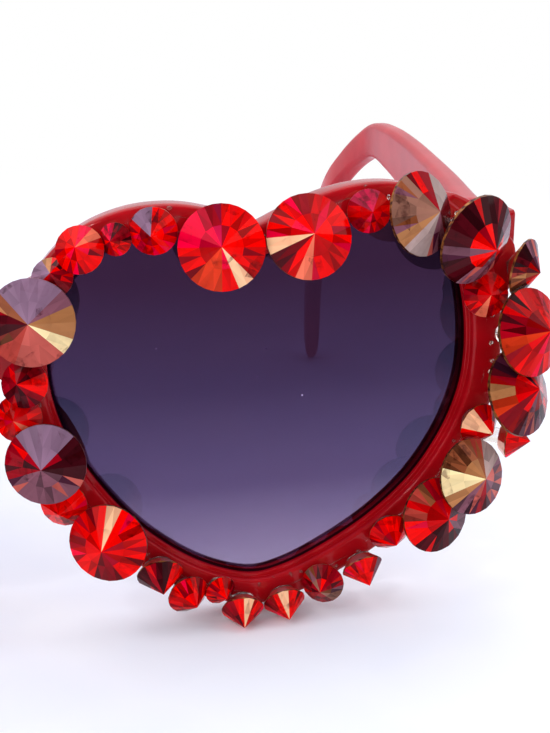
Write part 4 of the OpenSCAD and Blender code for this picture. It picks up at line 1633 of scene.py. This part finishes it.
@dataclass
class GlueBeads:
    """Beads of glue squeezed out between the crystals, scattered along the rim."""

    form: FrontForm
    side: Side
    outward_mm: float = 2.1
    count: int = 120
    bead_mm: float = 0.34
    strand_mm: float = 0.12
    scatter_mm: float = 1.5
    scatter_depth_mm: float = 0.12
    line_depth_mm: float = 0.1
    line_steps: int = 4
    waves_per_metre: float = 260.0
    least_stretch: tuple[float, float, float] = (0.5, 0.3, 0.5)
    most_stretch: tuple[float, float, float] = (1.5, 0.8, 1.5)
    most_turn: tuple[float, float, float] = (0.3, 1.5, 0.3)
    seed: int = 7

    def path(self) -> bpy.types.Object:
        """Makes a closed line along the middle of the rim's face.

        Returns:
            The line, as an object of edges.
        """
        places, normals = self.form.opening(self.line_steps)
        count = len(places)
        mesh = bpy.data.meshes.new("rim_line")
        mesh.from_pydata(
            [
                tuple(self.form.place(p + n * self.outward_mm, self.line_depth_mm, self.side))
                for p, n in zip(places, normals)
            ],
            [(k, (k + 1) % count) for k in range(count)], [],
        )
        made = bpy.data.objects.new("rim_line", mesh)
        bpy.context.scene.collection.objects.link(made)
        return made

    def group(self) -> bpy.types.GeometryNodeTree:
        """Builds the nodes that scatter flattened beads along a line.

        Returns:
            The node group, made on first use.
        """
        name = "beads_along_line"
        tree = bpy.data.node_groups.get(name)
        if tree is not None:
            return tree
        tree = bpy.data.node_groups.new(name, "GeometryNodeTree")
        sockets = tree.interface
        sockets.new_socket("Line", in_out="INPUT", socket_type="NodeSocketGeometry")
        sockets.new_socket("Count", in_out="INPUT", socket_type="NodeSocketInt")
        sockets.new_socket("Bead Radius", in_out="INPUT", socket_type="NodeSocketFloat")
        sockets.new_socket("Strand Radius", in_out="INPUT", socket_type="NodeSocketFloat")
        sockets.new_socket("Scatter", in_out="INPUT", socket_type="NodeSocketVector")
        sockets.new_socket("Seed", in_out="INPUT", socket_type="NodeSocketInt")
        sockets.new_socket("Glue", in_out="INPUT", socket_type="NodeSocketMaterial")
        sockets.new_socket("Beads", in_out="OUTPUT", socket_type="NodeSocketGeometry")
        given = add(tree, "NodeGroupInput").outputs
        line = add(tree, "GeometryNodeMeshToCurve", {"Mesh": given["Line"]})
        points = add(tree, "GeometryNodeResampleCurve", {
            "Curve": line.outputs["Curve"], "Count": given["Count"],
        })
        least = add(tree, "ShaderNodeVectorMath", {
            0: given["Scatter"], "Scale": -1.0,
        }, operation="SCALE")
        offset = add(tree, "FunctionNodeRandomValue", {
            0: least.outputs["Vector"], 1: given["Scatter"], "Seed": given["Seed"],
        }, data_type="FLOAT_VECTOR")
        moved = add(tree, "GeometryNodeSetPosition", {
            "Geometry": points.outputs["Curve"], "Offset": offset.outputs[0],
        })
        bead = add(tree, "GeometryNodeMeshIcoSphere", {
            "Radius": given["Bead Radius"], "Subdivisions": 1,
        })
        size = add(tree, "FunctionNodeRandomValue", {
            0: self.least_stretch, 1: self.most_stretch, "Seed": given["Seed"],
        }, data_type="FLOAT_VECTOR")
        turned = add(tree, "FunctionNodeRandomValue", {
            0: tuple(-a for a in self.most_turn), 1: self.most_turn, "Seed": given["Seed"],
        }, data_type="FLOAT_VECTOR")
        placed = add(tree, "GeometryNodeInstanceOnPoints", {
            "Points": moved.outputs["Geometry"], "Instance": bead.outputs["Mesh"],
            "Rotation": turned.outputs[0], "Scale": size.outputs[0],
        })
        real = add(tree, "GeometryNodeRealizeInstances", {
            "Geometry": placed.outputs["Instances"],
        })
        strand = add(tree, "GeometryNodeCurveToMesh", {
            "Curve": self.strand_line(tree, line, given),
            "Profile Curve": add(tree, "GeometryNodeCurvePrimitiveCircle", {
                "Resolution": 6, "Radius": given["Strand Radius"],
            }).outputs["Curve"],
        })
        joined = add(tree, "GeometryNodeJoinGeometry")
        for part in (real.outputs["Geometry"], strand.outputs["Mesh"]):
            tree.links.new(part, joined.inputs["Geometry"])
        dressed = add(tree, "GeometryNodeSetMaterial", {
            "Geometry": joined.outputs["Geometry"], "Material": given["Glue"],
        })
        add(tree, "NodeGroupOutput", {"Beads": dressed.outputs["Geometry"]})
        return tree

    def strand_line(self, tree: Tree, line: bpy.types.Node, given: Any) -> Socket:
        """Returns the line again, wavering as a strand of glue does.

        Args:
            tree: Node tree to add to.
            line: The node that gives the line as a curve.
            given: The group's input sockets.

        Returns:
            The socket of the wavering curve.
        """
        points = add(tree, "GeometryNodeResampleCurve", {
            "Curve": line.outputs["Curve"], "Count": given["Count"],
        })
        waver = add(tree, "ShaderNodeTexNoise", {
            "Scale": self.waves_per_metre, "Detail": 1.0,
        })
        middle = add(tree, "ShaderNodeVectorMath", {
            0: waver.outputs["Color"], 1: (0.5, 0.5, 0.5),
        }, operation="SUBTRACT")
        scaled = add(tree, "ShaderNodeVectorMath", {
            0: middle.outputs["Vector"], 1: given["Scatter"],
        }, operation="MULTIPLY")
        return add(tree, "GeometryNodeSetPosition", {
            "Geometry": points.outputs["Curve"], "Offset": scaled.outputs["Vector"],
        }).outputs["Geometry"]

    def build(self) -> None:
        """Scatters the beads, and turns them into one plain mesh on the front."""
        line = self.path()
        modifier = line.modifiers.new("beads", "NODES")
        modifier.node_group = self.group()
        values = {
            "Count": self.count,
            "Bead Radius": self.bead_mm * MM,
            "Strand Radius": self.strand_mm * MM,
            "Scatter": (
                self.scatter_mm * MM, self.scatter_depth_mm * MM, self.scatter_mm * MM,
            ),
            "Seed": self.seed + self.side.value,
            "Glue": GLUE.material(),
        }
        for item in modifier.node_group.interface.items_tree:
            if item.item_type == "SOCKET" and item.in_out == "INPUT" and item.name in values:
                modifier[item.identifier] = values[item.name]
        depsgraph = bpy.context.evaluated_depsgraph_get()
        mesh = bpy.data.meshes.new_from_object(line.evaluated_get(depsgraph))
        bpy.data.objects.remove(line)
        made = bpy.data.objects.new(f"glue_beads_{self.side.word}", mesh)
        bpy.context.scene.collection.objects.link(made)
        for face in mesh.polygons:
            face.use_smooth = True
        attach(made, FRONT_BODY)
        log.info("glue beads %s: %d faces", self.side.word, len(mesh.polygons))


@dataclass
class Hardware:
    """The hinge leaves, screws and glue, which keep their CAD shapes."""

    finishes: tuple[tuple[str, Finish], ...] = (("hinge", NICKEL), ("adhesive", GLUE))

    def dress(self) -> None:
        """Gives the kept nodes their finishes."""
        for name, node in sorted(frame["nodes"].items()):
            for start, finish in self.finishes:
                if name.startswith(start):
                    for slot in node.material_slots:
                        slot.material = finish.material()
                    log.info("%s dressed in %s", name, finish.name)


@dataclass(frozen=True)
class Panel:
    """A soft rectangular light: its middle and size in metres, and its power in watts."""

    name: str
    place: tuple[float, float, float]
    size: tuple[float, float]
    watts: float
    mirrored: bool = True


@dataclass
class Studio:
    """Paper floor, soft panels and the camera at the photograph's angle."""

    target: tuple[float, float, float] = (0.040, -0.05701, 0.039436)
    distance: float = 0.195
    azimuth: float = -2.5
    elevation: float = 19.0
    lens: float = 68.41
    sensor: float = 36.0
    clip: tuple[float, float] = (0.005, 20.0)
    floor_radius: float = 4.0
    floor_sides: int = 96
    aim: tuple[float, float, float] = (0.0, -0.03, 0.035)
    panels: tuple[Panel, ...] = (
        Panel("soft_left", (-0.75, -0.35, 0.75), (0.7, 0.7), 3.2),
        Panel("soft_right", (0.85, -0.15, 0.55), (0.5, 0.7), 1.8),
        Panel("front_panel", (-0.25, -1.6, 0.55), (3.0, 2.0), 26.0, mirrored=False),
        Panel("sparkle_lamp", (-0.45, -0.85, 0.95), (0.07, 0.07), 1.4),
        Panel("sky_panel", (0.0, 0.35, 1.0), (1.2, 1.0), 5.0),
    )
    room_lift: float = 0.7
    room_span: tuple[float, float] = (-0.6, 0.9)
    room: tuple[tuple[float, str], ...] = (
        (0.0, "343238"), (0.35, "68646e"), (0.75, "d8dae4"), (1.0, "f8faff"),
    )

    def camera(self) -> None:
        """Places the camera."""
        data = bpy.data.cameras.new("camera")
        data.sensor_width = self.sensor
        data.lens = self.lens
        data.clip_start, data.clip_end = self.clip
        made = bpy.data.objects.new("camera", data)
        bpy.context.scene.collection.objects.link(made)
        a, e = math.radians(self.azimuth), math.radians(self.elevation)
        back = Vector((
            math.sin(a) * math.cos(e), -math.cos(a) * math.cos(e), math.sin(e)
        ))
        made.location = Vector(self.target) + back * self.distance
        made.rotation_mode = "QUATERNION"
        made.rotation_quaternion = (-back).to_track_quat("-Z", "Y")
        bpy.context.scene.camera = made

    def light(self, panel: Panel) -> None:
        """Adds a panel that faces the glasses and is not seen itself.

        Args:
            panel: The light.
        """
        data = bpy.data.lights.new(panel.name, "AREA")
        data.shape = "RECTANGLE"
        data.size, data.size_y = panel.size
        data.energy = panel.watts
        made = bpy.data.objects.new(panel.name, data)
        bpy.context.scene.collection.objects.link(made)
        made.location = panel.place
        made.rotation_mode = "QUATERNION"
        way = Vector(self.aim) - Vector(panel.place)
        made.rotation_quaternion = way.to_track_quat("-Z", "Y")
        made.visible_camera = False
        made.visible_glossy = panel.mirrored

    def world(self) -> None:
        """Makes a room that is bright behind and above, and dim behind the camera."""
        world = bpy.data.worlds.new("studio")
        bpy.context.scene.world = world
        world.use_nodes = True
        tree = world.node_tree
        tree.nodes.clear()
        way = add(tree, "ShaderNodeTexCoord").outputs["Generated"]
        parts = add(tree, "ShaderNodeSeparateXYZ", {"Vector": way})
        lift = add(tree, "ShaderNodeMath", {
            0: parts.outputs["Z"], 1: self.room_lift,
        }, operation="MULTIPLY")
        both = add(tree, "ShaderNodeMath", {
            0: parts.outputs["Y"], 1: lift.outputs["Value"],
        }, operation="ADD")
        share = add(tree, "ShaderNodeMapRange", {
            "Value": both.outputs["Value"],
            "From Min": self.room_span[0], "From Max": self.room_span[1],
        })
        room = add(tree, "ShaderNodeValToRGB", {"Fac": share.outputs["Result"]}, self.room)
        rays = add(tree, "ShaderNodeLightPath")
        colour = add(tree, "ShaderNodeMix", {
            "Factor": rays.outputs["Is Camera Ray"], 6: room.outputs["Color"], 7: (1, 1, 1, 1),
        }, data_type="RGBA")
        back = add(tree, "ShaderNodeBackground", {
            "Color": colour.outputs[2], "Strength": 1.0,
        })
        add(tree, "ShaderNodeOutputWorld", {"Surface": back.outputs["Background"]})

    def floor(self) -> None:
        """Lays the paper."""
        sides = self.floor_sides
        points = [Vector((0, 0, 0))]
        points += [
            Vector((math.cos(a), math.sin(a), 0)) * self.floor_radius
            for a in np.linspace(0, 2 * math.pi, sides, endpoint=False)
        ]
        faces = [[0, 1 + k, 1 + (k + 1) % sides] for k in range(sides)]
        made = mesh_object("studio_floor", points, faces, [PAPER])

    def build(self) -> None:
        """Builds the whole studio."""
        self.camera()
        self.floor()
        self.world()
        for panel in self.panels:
            self.light(panel)
        bpy.context.scene.view_settings.view_transform = "Standard"


def hinge_axis() -> Vector:
    """Returns the middle of the left hinge's barrels, read from the joint."""
    joint = next(j for j in frame["joints"] if j["name"] == "fold_left")
    return Vector(joint["pos_m"])


def main() -> None:
    """Builds and dresses every piece in order."""
    logging.basicConfig(level=logging.INFO, format="%(message)s")
    axis = hinge_axis()
    form = FrontForm()
    Studio().build()
    FrontShell(form).build(axis)
    for side in Side:
        TintedLens(form, side).build()
        TempleArm(side, axis).build()
        GlueBeads(form, side).build()
    for name in sorted(frame["nodes"]):
        if name.startswith("crystal"):
            CrystalNode(name).build()
    Hardware().dress()


if __name__ == "__main__":
    main()
